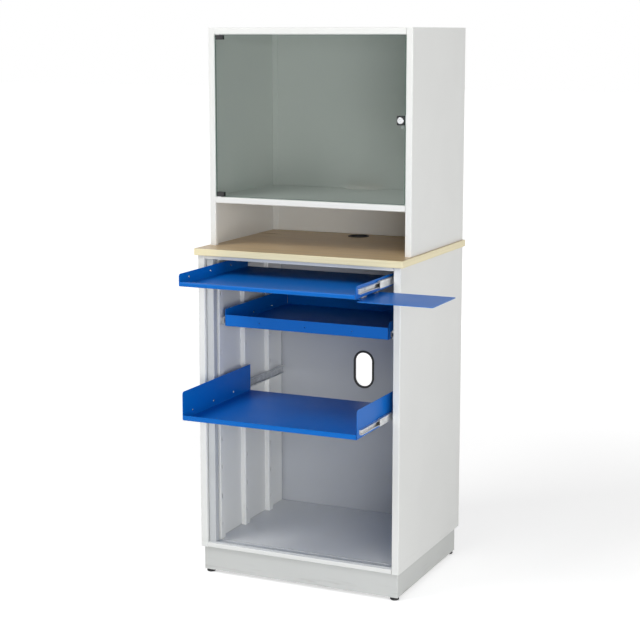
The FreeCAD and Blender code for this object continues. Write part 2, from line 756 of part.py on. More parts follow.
def hinge_pin(level, inward):
    """Pivot pin on the end of a clamp; its foot is a saddle over the glass edge."""
    front, rear = glass_plane()
    _, _, low, high = glass_edges()
    edge = high if inward < 0 else low
    seat = block(
        (pivot(0).x - PIN_DIAMETER, pivot(0).x + PIN_DIAMETER),
        (front - CLAMP_PLATE, rear + CLAMP_PLATE),
        tuple(sorted((edge, edge - inward * (GLASS_END_GAP - JOINT_GAP)))),
    )
    start = edge if inward < 0 else level - PIN_REACH
    reach = level + PIN_REACH - edge if inward < 0 else edge - start
    return joined(seat, drill(PIN_DIAMETER, pivot(start), UP, reach))


def hinge_bush(level, outward):
    """Nylon sleeve pressed into the pivot hole; it stands out on the hidden side of the sheet."""
    bore = PIN_DIAMETER + PIN_GAP * 2
    length = SHEET + BUSH_STAND
    low = pivot(level - length if outward < 0 else level)
    sleeve = drill(bore + BUSH_WALL * 2, low, UP, length)
    return sleeve.cut(drill(bore, low, UP, length))


def lock_housing():
    """Two black plates on the glass, joined by a sleeve through its hole."""
    front, rear = glass_plane()
    centre = lock_axis(0)
    half_width, half_height = LOCK_PLATE_WIDTH / 2, LOCK_PLATE_HEIGHT / 2
    low = (centre.x - half_width, centre.z - half_height)
    high = (centre.x + half_width, centre.z + half_height)
    plate = rectangle(low, high, LOCK_PLATE_RADIUS)
    fore = prism(plate, "y", front - LOCK_PLATE, front)
    aft = prism(plate, "y", rear, rear + LOCK_PLATE)
    bore = LOCK_BARREL + LOCK_BARREL_GAP * 2
    sleeve = drill(bore + LOCK_SLEEVE_WALL * 2, lock_axis(front), BACKWARD, GLASS_THICKNESS)
    hole = drill(bore, lock_axis(front - LOCK_PLATE * 2), BACKWARD, GLASS_THICKNESS + LOCK_PLATE * 4)
    return joined(fore, aft, sleeve).cut(hole)


def cam_plane():
    """Front plane of the cam, clear behind the stile's lip."""
    return HOUSING_FRONT + RETURN_LIP + CAM_CLEARANCE


def lock_cylinder():
    """Turning core: a domed head with a keyway, and a barrel that reaches to the cam."""
    seat = glass_plane()[0] - LOCK_PLATE - LOCK_HEAD_GAP
    head = drill(LOCK_HEAD, lock_axis(seat - LOCK_HEAD_HEIGHT), BACKWARD, LOCK_HEAD_HEIGHT)
    rim = [edge for edge in head.Edges if edge.BoundBox.YMax < seat - LOCK_HEAD_HEIGHT / 2]
    head = head.makeFillet(LOCK_HEAD_ROUNDING, rim)
    core = joined(head, drill(LOCK_BARREL, lock_axis(seat), BACKWARD, cam_plane() - seat))
    centre = lock_axis(0)
    low = (centre.x - KEYWAY_WIDTH / 2, centre.z - KEYWAY_HEIGHT / 2)
    high = (centre.x + KEYWAY_WIDTH / 2, centre.z + KEYWAY_HEIGHT / 2)
    start = seat - LOCK_HEAD_HEIGHT
    return core.cut(prism(rectangle(low, high), "y", start - CUT_OVERRUN, start + KEYWAY_DEPTH))


def lock_cam():
    """Tongue on the barrel's end; it hangs down when unlocked."""
    centre = lock_axis(0)
    low = (centre.x - CAM_WIDTH / 2, centre.z - CAM_REACH)
    high = (centre.x + CAM_WIDTH / 2, centre.z + CAM_WIDTH / 2)
    front = cam_plane()
    return prism(rectangle(low, high, CAM_WIDTH / 3), "y", front, front + CAM_THICKNESS)


def lock_strike():
    """Plate on the right stile's lip that the cam turns behind."""
    centre = lock_axis(0).z
    face = SIDE - EDGE_FACE
    z = (centre - STRIKE_HEIGHT / 2, centre + STRIKE_HEIGHT / 2)
    return block((face - STRIKE_THICKNESS, face), (HOUSING_FRONT + BEND, HOUSING_FRONT + RETURN_LIP), z)


# Telescopic slides
def slide_member(height, wall, near, far, opens_out, front):
    """Left slide member standing on its web; near and far are distances from the upright."""
    x = (LEFT_FACE + near, LEFT_FACE + far)
    y = (front, front + SLIDE_LENGTH)
    member = block(x, y, (-height / 2, height / 2))
    hollow_x = (x[0] - CUT_OVERRUN, x[1] - SLIDE_WALL)
    if opens_out:
        hollow_x = (x[0] + SLIDE_WALL, x[1] + CUT_OVERRUN)
    hollow_y = (y[0] - CUT_OVERRUN, y[1] + CUT_OVERRUN)
    member = member.cut(block(hollow_x, hollow_y, (-height / 2 + wall, height / 2 - wall)))
    for index in range(SLIDE_HOLE_COUNT):
        along = front + SLIDE_HOLE_START + index * SLIDE_HOLE_SPACING
        web = x[0] if opens_out else x[1] - SLIDE_WALL
        hole = drill(SLIDE_HOLE, V(web - SLIDE_WALL, along, 0), V(1, 0, 0), SLIDE_WALL * 3)
        member = member.cut(hole)
    return member


def slide_set(level, out, spacer=0):
    """Outer, middle and inner members of a pair of slides, drawn out by a distance."""
    middle_height = SLIDE_HEIGHT - (SLIDE_WALL + SLIDE_RUN_GAP) * 2
    inner_height = middle_height - (SLIDE_RACE + SLIDE_RUN_GAP) * 2
    middle_near = SLIDE_WALL + SLIDE_WEB_GAP
    front = FRONT + SLIDE_SETBACK
    inner_near = SLIDE_THICKNESS - SLIDE_INNER_REACH
    members = [
        slide_member(SLIDE_HEIGHT, SLIDE_WALL, 0, SLIDE_OUTER_REACH, True, front),
        slide_member(middle_height, SLIDE_RACE, middle_near, SLIDE_MIDDLE_REACH, True, front - out / 2),
        slide_member(inner_height, SLIDE_WALL, inner_near, SLIDE_THICKNESS, False, front - out),
    ]
    pairs = []
    for member in members:
        left = shifted(member, spacer, 0, level)
        pairs.append((left, across(left)))
    return pairs


def across(shape):
    """The like piece on the other side of the compartment, whose middle is off the cabinet's."""
    return shifted(mirrored(shape), COMPARTMENT_OFFSET * 2)


def drawer_spacer():
    """Strip that brings the drawer's slide in from the left uprights."""
    level = DRAWER_BASE + DRAWER_SLIDE_RISE
    y = (FRONT + SLIDE_SETBACK, FRONT + SLIDE_SETBACK + SLIDE_LENGTH)
    half = SLIDE_HEIGHT / 2
    return block((LEFT_FACE, LEFT_FACE + DRAWER_SPACER), y, (level - half, level + half))


# Pull-outs
def tray(width, base, out, lip, wall, back=0, hem=0, hem_bend=0):
    """Folded tray: floor, two side walls, a front lip that may have a rolled hem, and a back if given."""
    left, right = COMPARTMENT_OFFSET - width / 2, COMPARTMENT_OFFSET + width / 2
    front = FRONT + TRAY_SETBACK - out
    rear = front + TRAY_DEPTH
    sides = [(right, base + wall), (right, base), (left, base), (left, base + wall)]
    floor = prism(folded(sides), "y", front + BEND, rear)
    ends = [(rear, base), (front, base), (front, base + lip)]
    bends = [BEND]
    if back:
        ends.insert(0, (rear, base + back))
        bends.insert(0, BEND)
    if hem:
        ends.append((front + hem, base + lip))
        bends.append(hem_bend)
    ends_sheet = prism(folded(ends, bends), "x", left + BEND, right - BEND)
    corners = joined(floor, ends_sheet)
    for x in (left, right - SHEET):
        corners = corners.cut(wall_corner(x, front + BEND, base + wall))
    return corners


def wall_corner(x, front, top):
    """What is rounded off the front top corner of a tray's side wall."""
    y = (front, front + TRAY_CORNER)
    corner = block((x, x + SHEET), y, (top - TRAY_CORNER, top))
    centre = V(x, y[1], top - TRAY_CORNER)
    return corner.cut(drill(TRAY_CORNER * 2, centre, V(1, 0, 0), SHEET))


def drawer():
    """Drawer with a row of small holes across its front."""
    shell = tray(DRAWER_WIDTH, DRAWER_BASE, 0, DRAWER_FRONT, DRAWER_WALL, DRAWER_WALL)
    first = COMPARTMENT_OFFSET - DRAWER_HOLE_SPACING * (DRAWER_HOLE_COUNT - 1) / 2
    front = FRONT + TRAY_SETBACK - SHEET / 2
    for index in range(DRAWER_HOLE_COUNT):
        base = V(first + index * DRAWER_HOLE_SPACING, front, DRAWER_BASE + DRAWER_HOLE_RISE)
        shell = shell.cut(drill(DRAWER_HOLE, base, BACKWARD, SHEET * 2))
    return shell


def wall_screws(width, level, out):
    """Screws that hold the inner slide members, seen inside both walls of a pull-out."""
    inside = COMPARTMENT_OFFSET - width / 2 + SHEET
    front = FRONT + SLIDE_SETBACK - out + SLIDE_HOLE_START
    screws = []
    for index in range(SLIDE_HOLE_COUNT):
        y = front + index * SLIDE_HOLE_SPACING
        left = pan_screw(V(inside, y, level), V(1, 0, 0), SHEET + SLIDE_WALL * 2)
        screws += [left, across(left)]
    return screws


def with_screw_holes(shape, screws):
    """Cut the screws' own room out of the piece that they pass through."""
    return shape.cut(Part.makeCompound(screws))


# Mouse tray
def mouse_plane():
    """Upper face of the mouse plate, just under its rails."""
    return KEYBOARD_BASE - MOUSE_RAIL_HEIGHT - MOUSE_RAIL_GAP


def mouse_places():
    """Front and rear edges of the plate, the tray's right side, and the middle of each rail."""
    front = FRONT + TRAY_SETBACK - KEYBOARD_OUT + MOUSE_FRONT_INSET
    rear = front + MOUSE_DEPTH
    side = COMPARTMENT_OFFSET + TRAY_WIDTH / 2
    margin = MOUSE_RAIL_MARGIN + MOUSE_RAIL_WIDTH / 2
    rails = (front + MOUSE_TONGUE_INSET + margin, rear - margin)
    return front, rear, side, rails


def mouse_tray():
    """Flat plate with a set-back tongue that stays under the keyboard tray."""
    front, rear, side, _ = mouse_places()
    root = side + MOUSE_SIDE_GAP
    tip = side - MOUSE_TONGUE_LENGTH
    points = [
        (root, front),
        (side + MOUSE_REACH, front),
        (side + MOUSE_REACH, rear),
        (tip, rear),
        (tip, front + MOUSE_TONGUE_INSET),
        (root, front + MOUSE_TONGUE_INSET),
    ]
    top = mouse_plane()
    return prism((points, [MOUSE_CORNER] * len(points)), "z", top - MOUSE_PLATE, top)


def mouse_rail(centre):
    """Low channel under the keyboard tray with a slit along its underside."""
    side = mouse_places()[2]
    x = (side - MOUSE_RAIL_LENGTH, side - BEND)
    high = KEYBOARD_BASE
    low = high - MOUSE_RAIL_HEIGHT
    half = MOUSE_RAIL_WIDTH / 2
    wall = MOUSE_RAIL_WALL
    rail = block(x, (centre - half, centre + half), (low, high))
    inner_x = (x[0] - CUT_OVERRUN, x[1] + CUT_OVERRUN)
    room = block(inner_x, (centre - half + wall, centre + half - wall), (low + wall, high - wall))
    slit_y = (centre - MOUSE_RAIL_SLIT / 2, centre + MOUSE_RAIL_SLIT / 2)
    slit = block(inner_x, slit_y, (low - wall, high - wall))
    return rail.cut(room).cut(slit)


def mouse_studs():
    """Headed studs on the tongue, two in each rail."""
    _, _, side, rails = mouse_places()
    top = mouse_plane()
    slack = (MOUSE_RAIL_HEIGHT - MOUSE_RAIL_WALL * 2 - STUD_HEAD_HEIGHT) / 2
    head_low = top + MOUSE_RAIL_GAP + MOUSE_RAIL_WALL + slack
    studs = []
    for centre in rails:
        for index in range(2):
            x = side - MOUSE_TONGUE_LENGTH + STUD_HEAD / 2 + MOUSE_SIDE_GAP + index * STUD_SPACING
            neck = drill(STUD_NECK, V(x, centre, top), UP, head_low - top)
            head = drill(STUD_HEAD, V(x, centre, head_low), UP, STUD_HEAD_HEIGHT)
            studs.append(joined(neck, head))
    return studs


# Screws of the backs
def back_screws(low, high):
    """Screws through a back pan's side flanges into the box posts."""
    screws = []
    pitch = (high - low) / BACK_SCREW_COUNT
    for index in range(BACK_SCREW_COUNT):
        z = low + pitch * (index + 1 / 2)
        base = V(-back_half() + SHEET, BACK_FRONT + BACK_FLANGE - SCREW_HEAD / 2, z)
        left = pan_screw(base, V(1, 0, 0), SHEET * 2 + JOINT_GAP)
        screws += [left, mirrored(left)]
    return screws


os.makedirs("parts", exist_ok=True)

save("plinth", plinth())
save("levelling_feet", *[foot(x, y) for x, y in foot_places()])
save("foot_nuts", *[foot_nut(x, y) for x, y in foot_places()])

lower_screws = back_screws(BODY_BASE, BODY_TOP)
upper_screws = back_screws(WORKTOP_TOP, HOUSING_TOP - SHEET)
lower_left = with_screw_holes(side_panel(FRONT, STILE_FACE, BODY_BASE, BODY_TOP), lower_screws)
save("lower_left_side", lower_left)
save("lower_right_side", mirrored(lower_left))
save("lower_floor", lower_floor())
save("front_top_rail", front_rail())
save("rear_top_rail", rear_rail())
save("lower_back_panel", with_screw_holes(lower_back_panel(), lower_screws))
save("back_opening_trim", back_opening_trim())
save("rear_screws", *lower_screws, *upper_screws)

save("shutter_bottom_track", bottom_track())
save("shutter_top_track", top_track())
save("shutter_end_bar", end_bar())
run_start = FRONT + SLAT_RUN_START
outer_run_count = int((POST_FRONT - SLAT_REAR_ROOM - run_start) // SLAT_PITCH)
outer_run = slat_run(OUTER_RUN_INSET, run_start, outer_run_count)
inner_run_start = run_start + (outer_run_count - INNER_RUN_COUNT) * SLAT_PITCH
save("shutter_slats", *outer_run, *slat_run(INNER_RUN_INSET, inner_run_start, INNER_RUN_COUNT))
save("left_pocket_wall", pocket_wall())

for index, place in zip(range(UPRIGHT_COUNT), ("front", "middle", "rear")):
    start = FRONT + UPRIGHT_SETBACK + index * UPRIGHT_SPACING
    save("left_" + place + "_upright", upright(LEFT_FACE, POCKET_FACE, start))
    save("right_" + place + "_upright", upright(RIGHT_FACE, SIDE - SHEET, start))

save("worktop", worktop())
save("worktop_edge_band", worktop_edge_band())
save("cable_grommet", cable_grommet())

upper_left = side_panel(HOUSING_FRONT, EDGE_FACE, WORKTOP_TOP, HOUSING_TOP - SHEET)
upper_left = with_screw_holes(upper_left, upper_screws)
save("upper_left_side", upper_left)
save("upper_right_side", mirrored(upper_left))
save("upper_top", housing_top())
save("monitor_shelf", monitor_shelf())
upper_back = back_panel(back_half(), WORKTOP_TOP, HOUSING_TOP - SHEET)
save("upper_back_panel", with_screw_holes(upper_back, upper_screws))

glass_low, glass_high = glass_edges()[2:]
save("glass_door", glass_door())
save("hinge_clamps", hinge_clamp(glass_low), hinge_clamp(glass_high - CLAMP_HEIGHT))
save("hinge_pins", hinge_pin(SHELF_TOP, 1), hinge_pin(GLASS_OPENING_TOP, -1))
save("hinge_bushes", hinge_bush(SHELF_TOP, -1), hinge_bush(GLASS_OPENING_TOP, 1))
save("lock_housing", lock_housing())
save("lock_cylinder", lock_cylinder())
save("lock_cam", lock_cam())
save("lock_strike", lock_strike())

keyboard_slide_level = KEYBOARD_BASE + KEYBOARD_SLIDE_RISE
printer_slide_level = PRINTER_BASE + PRINTER_SLIDE_RISE
drawer_slide_level = DRAWER_BASE + DRAWER_SLIDE_RISE
pull_outs = {
    "keyboard": (keyboard_slide_level, KEYBOARD_OUT, 0, TRAY_WIDTH),
    "drawer": (drawer_slide_level, 0, DRAWER_SPACER, DRAWER_WIDTH),
    "printer": (printer_slide_level, PRINTER_OUT, 0, TRAY_WIDTH),
}
screws = {}
for name, (level, out, spacer, width) in pull_outs.items():
    screws[name] = wall_screws(width, level, out)
    outer, middle, inner = slide_set(level, out, spacer)
    save(name + "_outer_slides", *outer)
    save(name + "_middle_slides", *middle)
    save(name + "_inner_slides", *[with_screw_holes(member, screws[name]) for member in inner])
    save(name + "_screws", *screws[name])
save("drawer_spacers", drawer_spacer(), across(drawer_spacer()))

keyboard_tray = tray(
    TRAY_WIDTH, KEYBOARD_BASE, KEYBOARD_OUT, KEYBOARD_LIP, KEYBOARD_WALL,
    hem=KEYBOARD_HEM, hem_bend=KEYBOARD_HEM_BEND,
)
save("keyboard_tray", with_screw_holes(keyboard_tray, screws["keyboard"]))
save("drawer", with_screw_holes(drawer(), screws["drawer"]))
printer_shelf = tray(TRAY_WIDTH, PRINTER_BASE, PRINTER_OUT, PRINTER_LIP, PRINTER_WALL)
save("printer_shelf", with_screw_holes(printer_shelf, screws["printer"]))

save("mouse_tray", mouse_tray())
save("mouse_tray_rails", *[mouse_rail(centre) for centre in mouse_places()[3]])
save("mouse_tray_studs", *mouse_studs())
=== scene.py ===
import math

import bmesh
import bpy
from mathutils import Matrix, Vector


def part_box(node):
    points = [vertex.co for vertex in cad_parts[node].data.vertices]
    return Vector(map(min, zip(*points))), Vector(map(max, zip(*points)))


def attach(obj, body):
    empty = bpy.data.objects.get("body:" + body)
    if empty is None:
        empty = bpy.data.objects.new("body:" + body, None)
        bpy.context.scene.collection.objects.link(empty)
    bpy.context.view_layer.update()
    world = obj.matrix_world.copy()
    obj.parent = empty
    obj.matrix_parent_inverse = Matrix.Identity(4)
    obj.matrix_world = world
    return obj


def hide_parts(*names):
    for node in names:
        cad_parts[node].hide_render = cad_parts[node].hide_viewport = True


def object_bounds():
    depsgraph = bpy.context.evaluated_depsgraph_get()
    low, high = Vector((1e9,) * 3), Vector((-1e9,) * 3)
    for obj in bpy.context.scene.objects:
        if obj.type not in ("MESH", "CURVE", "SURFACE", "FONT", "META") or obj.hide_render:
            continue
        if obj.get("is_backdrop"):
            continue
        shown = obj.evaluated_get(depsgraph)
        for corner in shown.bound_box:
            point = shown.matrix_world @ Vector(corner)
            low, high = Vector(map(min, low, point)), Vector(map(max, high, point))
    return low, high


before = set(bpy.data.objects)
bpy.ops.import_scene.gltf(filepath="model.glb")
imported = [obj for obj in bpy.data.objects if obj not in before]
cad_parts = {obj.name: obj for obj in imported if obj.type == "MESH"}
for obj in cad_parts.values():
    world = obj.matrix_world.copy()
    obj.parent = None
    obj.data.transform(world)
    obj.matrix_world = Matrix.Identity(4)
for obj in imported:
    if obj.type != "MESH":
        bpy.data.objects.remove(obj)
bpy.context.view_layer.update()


# Levelling feet
# Four glides under the corners of the plinth, which let the cabinet stand level.
# Each is a black moulded pad with a ribbed rim on a threaded stud, and a zinc-plated nut locks it.
scene = bpy.context.scene
MM = 0.001
SMALL_SOLID = 60 * MM
FOOT_RADIUS = 13 * MM
RIB_COUNT = 30
RIB_SIZE = (0.9 * MM, 1.3 * MM, 3.2 * MM)
RIB_MIDDLE = 3.4 * MM
BLACK = (0.012, 0.012, 0.013, 1)
BLACK_WORN = (0.03, 0.03, 0.031, 1)
MOULD_GRAIN = 1800.0
MOULD_GRAIN_DEPTH = 0.12 * MM
MOULD_GRAIN_GLOSS = 0.1
MOULD_PATCH = 35.0
MOULD_PATCH_GLOSS = 0.18
MOULD_WEAR = (0.35, 0.8)
ZINC = (0.78, 0.79, 0.80, 1)
ZINC_DULL_SHARE = 0.72
ZINC_BLOOM = 60.0
ZINC_BLOOM_GLOSS = 0.22
ZINC_CLOUDS = (0.35, 0.7)
DRAW_LINE_SHARE = 0.4
DRAW_LINE_GLOSS = 0.12
DRAW_LINE_DEPTH = 0.06 * MM
NUT_LINES = (400.0, 400.0, 60.0)


class Tone:
    """A node socket that takes part in sums."""

    def __init__(self, socket):
        self.socket = socket

    def node(self, kind, settings=None, inputs=None, out=0):
        """Add any node to this socket's tree and hand back one of its outputs."""
        tree = self.socket.id_data
        made = tree.nodes.new(kind)
        for name, value in (settings or {}).items():
            setattr(made, name, value)
        for name, value in (inputs or {}).items():
            if isinstance(value, Tone):
                tree.links.new(value.socket, made.inputs[name])
            else:
                made.inputs[name].default_value = value
        return Tone(made.outputs[out])

    def reckon(self, operation, first, second):
        """Add one Math node."""
        return self.node("ShaderNodeMath", {"operation": operation}, {0: first, 1: second})

    def __add__(self, other):
        return self.reckon("ADD", self, other)

    def __radd__(self, other):
        return self.reckon("ADD", other, self)

    def __sub__(self, other):
        return self.reckon("SUBTRACT", self, other)

    def __rsub__(self, other):
        return self.reckon("SUBTRACT", other, self)

    def __mul__(self, other):
        return self.reckon("MULTIPLY", self, other)

    def __rmul__(self, other):
        return self.reckon("MULTIPLY", other, self)

    def __truediv__(self, other):
        return self.reckon("DIVIDE", self, other)

    def __pow__(self, other):
        return self.reckon("POWER", self, other)

    def least(self, other):
        return self.reckon("MINIMUM", self, other)

    def most(self, other):
        return self.reckon("MAXIMUM", self, other)

    def swing(self, width):
        """Noise that lies round a half, turned into a change of this width about nought."""
        return width * (self - 0.5)

    def mixed(self, other, share):
        """This noise with a share of another in it."""
        return self * (1.0 - share) + other * share

    def ramp(self, low, high):
        """Nought below low, one above high, and smooth between them."""
        ends = {"Value": self, "From Min": low, "From Max": high}
        return self.node("ShaderNodeMapRange", {"interpolation_type": "SMOOTHSTEP"}, ends)

    def along(self, axis):
        """How far the place on a piece lies along one axis."""
        return self.node("ShaderNodeSeparateXYZ", None, {0: self}, axis)


def new_finish(name, constants):
    """Start a finish: its material, and the place on the piece as a socket."""
    finish = bpy.data.materials.new(name)
    finish.use_nodes = True
    for socket, value in constants.items():
        finish.node_tree.nodes["Principled BSDF"].inputs[socket].default_value = value
    return finish, Tone(finish.node_tree.nodes.new("ShaderNodeTexCoord").outputs["Object"])


def feed(finish, sockets):
    """Link what varies over the surface to the shader."""
    shader = finish.node_tree.nodes["Principled BSDF"]
    for name, tone in sockets.items():
        finish.node_tree.links.new(tone.socket, shader.inputs[name])
    return finish


def cloud(place, scale, detail=2.0, stretch=None):
    """Noise over the piece; scale is in lumps to the metre, stretch draws it out along an axis."""
    if stretch:
        place = place.node("ShaderNodeMapping", None, {"Vector": place, "Scale": stretch})
    lumps = {"Vector": place, "Scale": scale, "Detail": detail}
    return place.node("ShaderNodeTexNoise", None, lumps, "Fac")


def lines(place, to_metre, detail):
    """Noise in lines: how many there are to the metre, along each axis."""
    return cloud(place, 1.0, detail, to_metre)


def shaded(colour, share):
    """A darker tone of the same colour."""
    return tuple(share * part for part in colour[:3]) + (1.0,)


def between(share, first, second):
    """Colour that goes from first to second with the share."""
    return share.node("ShaderNodeMix", {"data_type": "RGBA"}, {0: share, 6: first, 7: second}, 2)


def relief(height, depth, strength):
    """Raise the surface by a height between nought and one, for light alone."""
    raised = {"Height": height, "Distance": depth, "Strength": strength}
    return height.node("ShaderNodeBump", None, raised)


def dress(finish, *names):
    """Give CAD pieces their finish."""
    for name in names:
        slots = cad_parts[name].data.materials
        slots.clear()
        slots.append(finish)


def moulded(name, colour, paler_tone, roughness):
    """Plastic from a spark-eroded mould: fine grain, dull patches, paler where it is handled."""
    finish, place = new_finish(name, {"Specular IOR Level": 0.45})
    grain = cloud(place, MOULD_GRAIN, detail=3.0)
    patch = cloud(place, MOULD_PATCH, detail=4.0)
    return feed(finish, {
        "Base Color": between(patch.ramp(*MOULD_WEAR), colour, paler_tone),
        "Roughness": roughness + patch.swing(MOULD_PATCH_GLOSS) + grain.swing(MOULD_GRAIN_GLOSS),
        "Normal": relief(grain, MOULD_GRAIN_DEPTH, strength=0.6),
    })


def plated(name, to_metre, colour=ZINC, roughness=0.4):
    """Bright zinc plate on cold-drawn steel: fine draw lines one way, cloudy passivation."""
    finish, place = new_finish(name, {"Metallic": 1.0})
    drawn = lines(place, to_metre, detail=3.0)
    bloom = cloud(place, ZINC_BLOOM, detail=4.0)
    bright = bloom.mixed(drawn, DRAW_LINE_SHARE).ramp(*ZINC_CLOUDS)
    return feed(finish, {
        "Base Color": between(bright, shaded(colour, ZINC_DULL_SHARE), colour),
        "Roughness": roughness + bloom.swing(ZINC_BLOOM_GLOSS) + drawn.swing(DRAW_LINE_GLOSS),
        "Normal": relief(drawn, DRAW_LINE_DEPTH, strength=0.5),
    })


def new_tree(name, sizes):
    """Start a tree of repeats with named inputs, and hand back those inputs by name."""
    tree = bpy.data.node_groups.new(name, "GeometryNodeTree")
    tree.interface.new_socket("Places", in_out="INPUT", socket_type="NodeSocketGeometry")
    for label, kind in sizes.items():
        tree.interface.new_socket(label, in_out="INPUT", socket_type="NodeSocket" + kind)
    tree.interface.new_socket("Finish", in_out="INPUT", socket_type="NodeSocketMaterial")
    tree.interface.new_socket("Piece", in_out="OUTPUT", socket_type="NodeSocketGeometry")
    start = tree.nodes.new("NodeGroupInput")
    return tree, {socket.name: Tone(socket) for socket in start.outputs if socket.name}


def close_tree(tree, copies, finish):
    """End a tree of repeats in plain mesh with its finish on."""
    whole = copies.node("GeometryNodeRealizeInstances", None, {0: copies})
    coated = whole.node("GeometryNodeSetMaterial", None, {"Geometry": whole, "Material": finish})
    tree.links.new(coated.socket, tree.nodes.new("NodeGroupOutput").inputs[0])


def grow(name, tree, places, sizes, facings=None):
    """Grow a tree's repeats on the places given, and keep them as one plain mesh."""
    mesh = bpy.data.meshes.new(name + "_places")
    mesh.from_pydata([tuple(spot) for spot in places], [], [])
    if facings:
        facing = mesh.attributes.new("facing", "FLOAT_VECTOR", "POINT")
        for item, way in zip(facing.data, facings):
            item.vector = way
    piece = bpy.data.objects.new(name, mesh)
    scene.collection.objects.link(piece)
    repeat = piece.modifiers.new("repeat", "NODES")
    repeat.node_group = tree
    for item in tree.interface.items_tree:
        if item.item_type == "SOCKET" and item.in_out == "INPUT" and item.name in sizes:
            repeat[item.identifier] = sizes[item.name]
    graph = bpy.context.evaluated_depsgraph_get()
    grown = bpy.data.meshes.new_from_object(piece.evaluated_get(graph), depsgraph=graph)
    piece.modifiers.remove(repeat)
    piece.data = grown
    grown.name = name
    bpy.data.meshes.remove(mesh)
    return piece


def settle(piece, body, slot, *stands_for):
    """Let a finished piece ride its body and stand for CAD nodes; the slot is not used."""
    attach(piece, body)
    if stands_for:
        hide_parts(*stands_for)


def solids(node):
    """Low and high corner of each separate solid in a CAD node that holds several small ones."""
    groups = []
    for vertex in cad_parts[node].data.vertices:
        for group in groups:
            if (group[0] - vertex.co).length < SMALL_SOLID:
                group.append(vertex.co)
                break
        else:
            groups.append([vertex.co])
    return [(Vector(map(min, zip(*group))), Vector(map(max, zip(*group)))) for group in groups]


black_plastic = moulded("black_moulded_plastic", BLACK, BLACK_WORN, roughness=0.5)
dress(black_plastic, "levelling_feet")
dress(plated("nut_zinc", NUT_LINES), "foot_nuts")

rib_tree, rib = new_tree("foot_ribs", {"Count": "Int", "Radius": "Float", "Rib": "Vector"})
rim = {"Vertices": rib["Count"], "Radius": rib["Radius"]}
ring = rib["Count"].node("GeometryNodeMeshCircle", None, rim)
turn = ring.node("GeometryNodeInputIndex") * (2 * math.pi) / rib["Count"]
heading = turn.node("ShaderNodeCombineXYZ", None, {"Z": turn})
one_rib = rib["Rib"].node("GeometryNodeMeshCube", None, {"Size": rib["Rib"]})
ribs = ring.node("GeometryNodeInstanceOnPoints", None, {
    "Points": ring,
    "Instance": one_rib,
    "Rotation": heading.node("FunctionNodeEulerToRotation", None, {0: heading}),
})
rims = ribs.node("GeometryNodeInstanceOnPoints", None, {"Points": rib["Places"], "Instance": ribs})
close_tree(rib_tree, rims, rib["Finish"])
foot_places = []
for low, high in solids("levelling_feet"):
    foot_places.append(((low.x + high.x) / 2, (low.y + high.y) / 2, RIB_MIDDLE))
rib_sizes = {"Count": RIB_COUNT, "Radius": FOOT_RADIUS, "Rib": RIB_SIZE, "Finish": black_plastic}
settle(grow("foot_rim_ribs", rib_tree, foot_places, rib_sizes), "cabinet", "black_plastic")


# Plinth
# A ring of folded sheet steel set back under the cabinet, powder coated light grey like the carcass but
# painted darker here as the shade under the cabinet.
# It is welded at its corners, carries the feet, and takes the scuffs of shoes and mops.
# The outer edges of each painted sheet take a paler tone: partly thin, worn paint and partly a painted
# highlight on the bends.
EDGE_WEAR_AND_HIGHLIGHT_WIDTH = 2.2 * MM
EDGE_BREAKS = 130.0
EDGE_BREAK_REACH = (0.38, 0.62)
EDGE_WEAR_AND_HIGHLIGHT_SHARE = 0.55
EDGE_POLISH = 0.1
PEEL = 520.0
PEEL_DEPTH = 0.16 * MM
PEEL_GLOSS = 0.12
POWDER = 2300.0
POWDER_SHADE_SHARE = 0.3
POWDER_PEEL_SHARE = 0.25
DRIFT = 5.0
DRIFT_REACH = (0.3, 0.72)
DRIFT_SHADE = 0.955
DRIFT_GLOSS = 0.16
SCUFF_LINES = (9.0, 9.0, 70.0)
SCUFF_REACH = (0.52, 0.72)
SCUFF_SHARE = 0.5
SCUFF_DULL = 0.15
SATIN = 0.46
# The plinth's grey and its edge tone are darkened as painted shade under the cabinet.
PLINTH_SHADED_GREY = (0.620, 0.632, 0.615, 1)
PLINTH_EDGE_WEAR_HIGHLIGHT_AND_SHADE = (0.74, 0.75, 0.735, 1)
FLOOR_DIRT = (0.36, 0.35, 0.33, 1)
PLINTH_SCUFFS = (10 * MM, 45 * MM, FLOOR_DIRT)


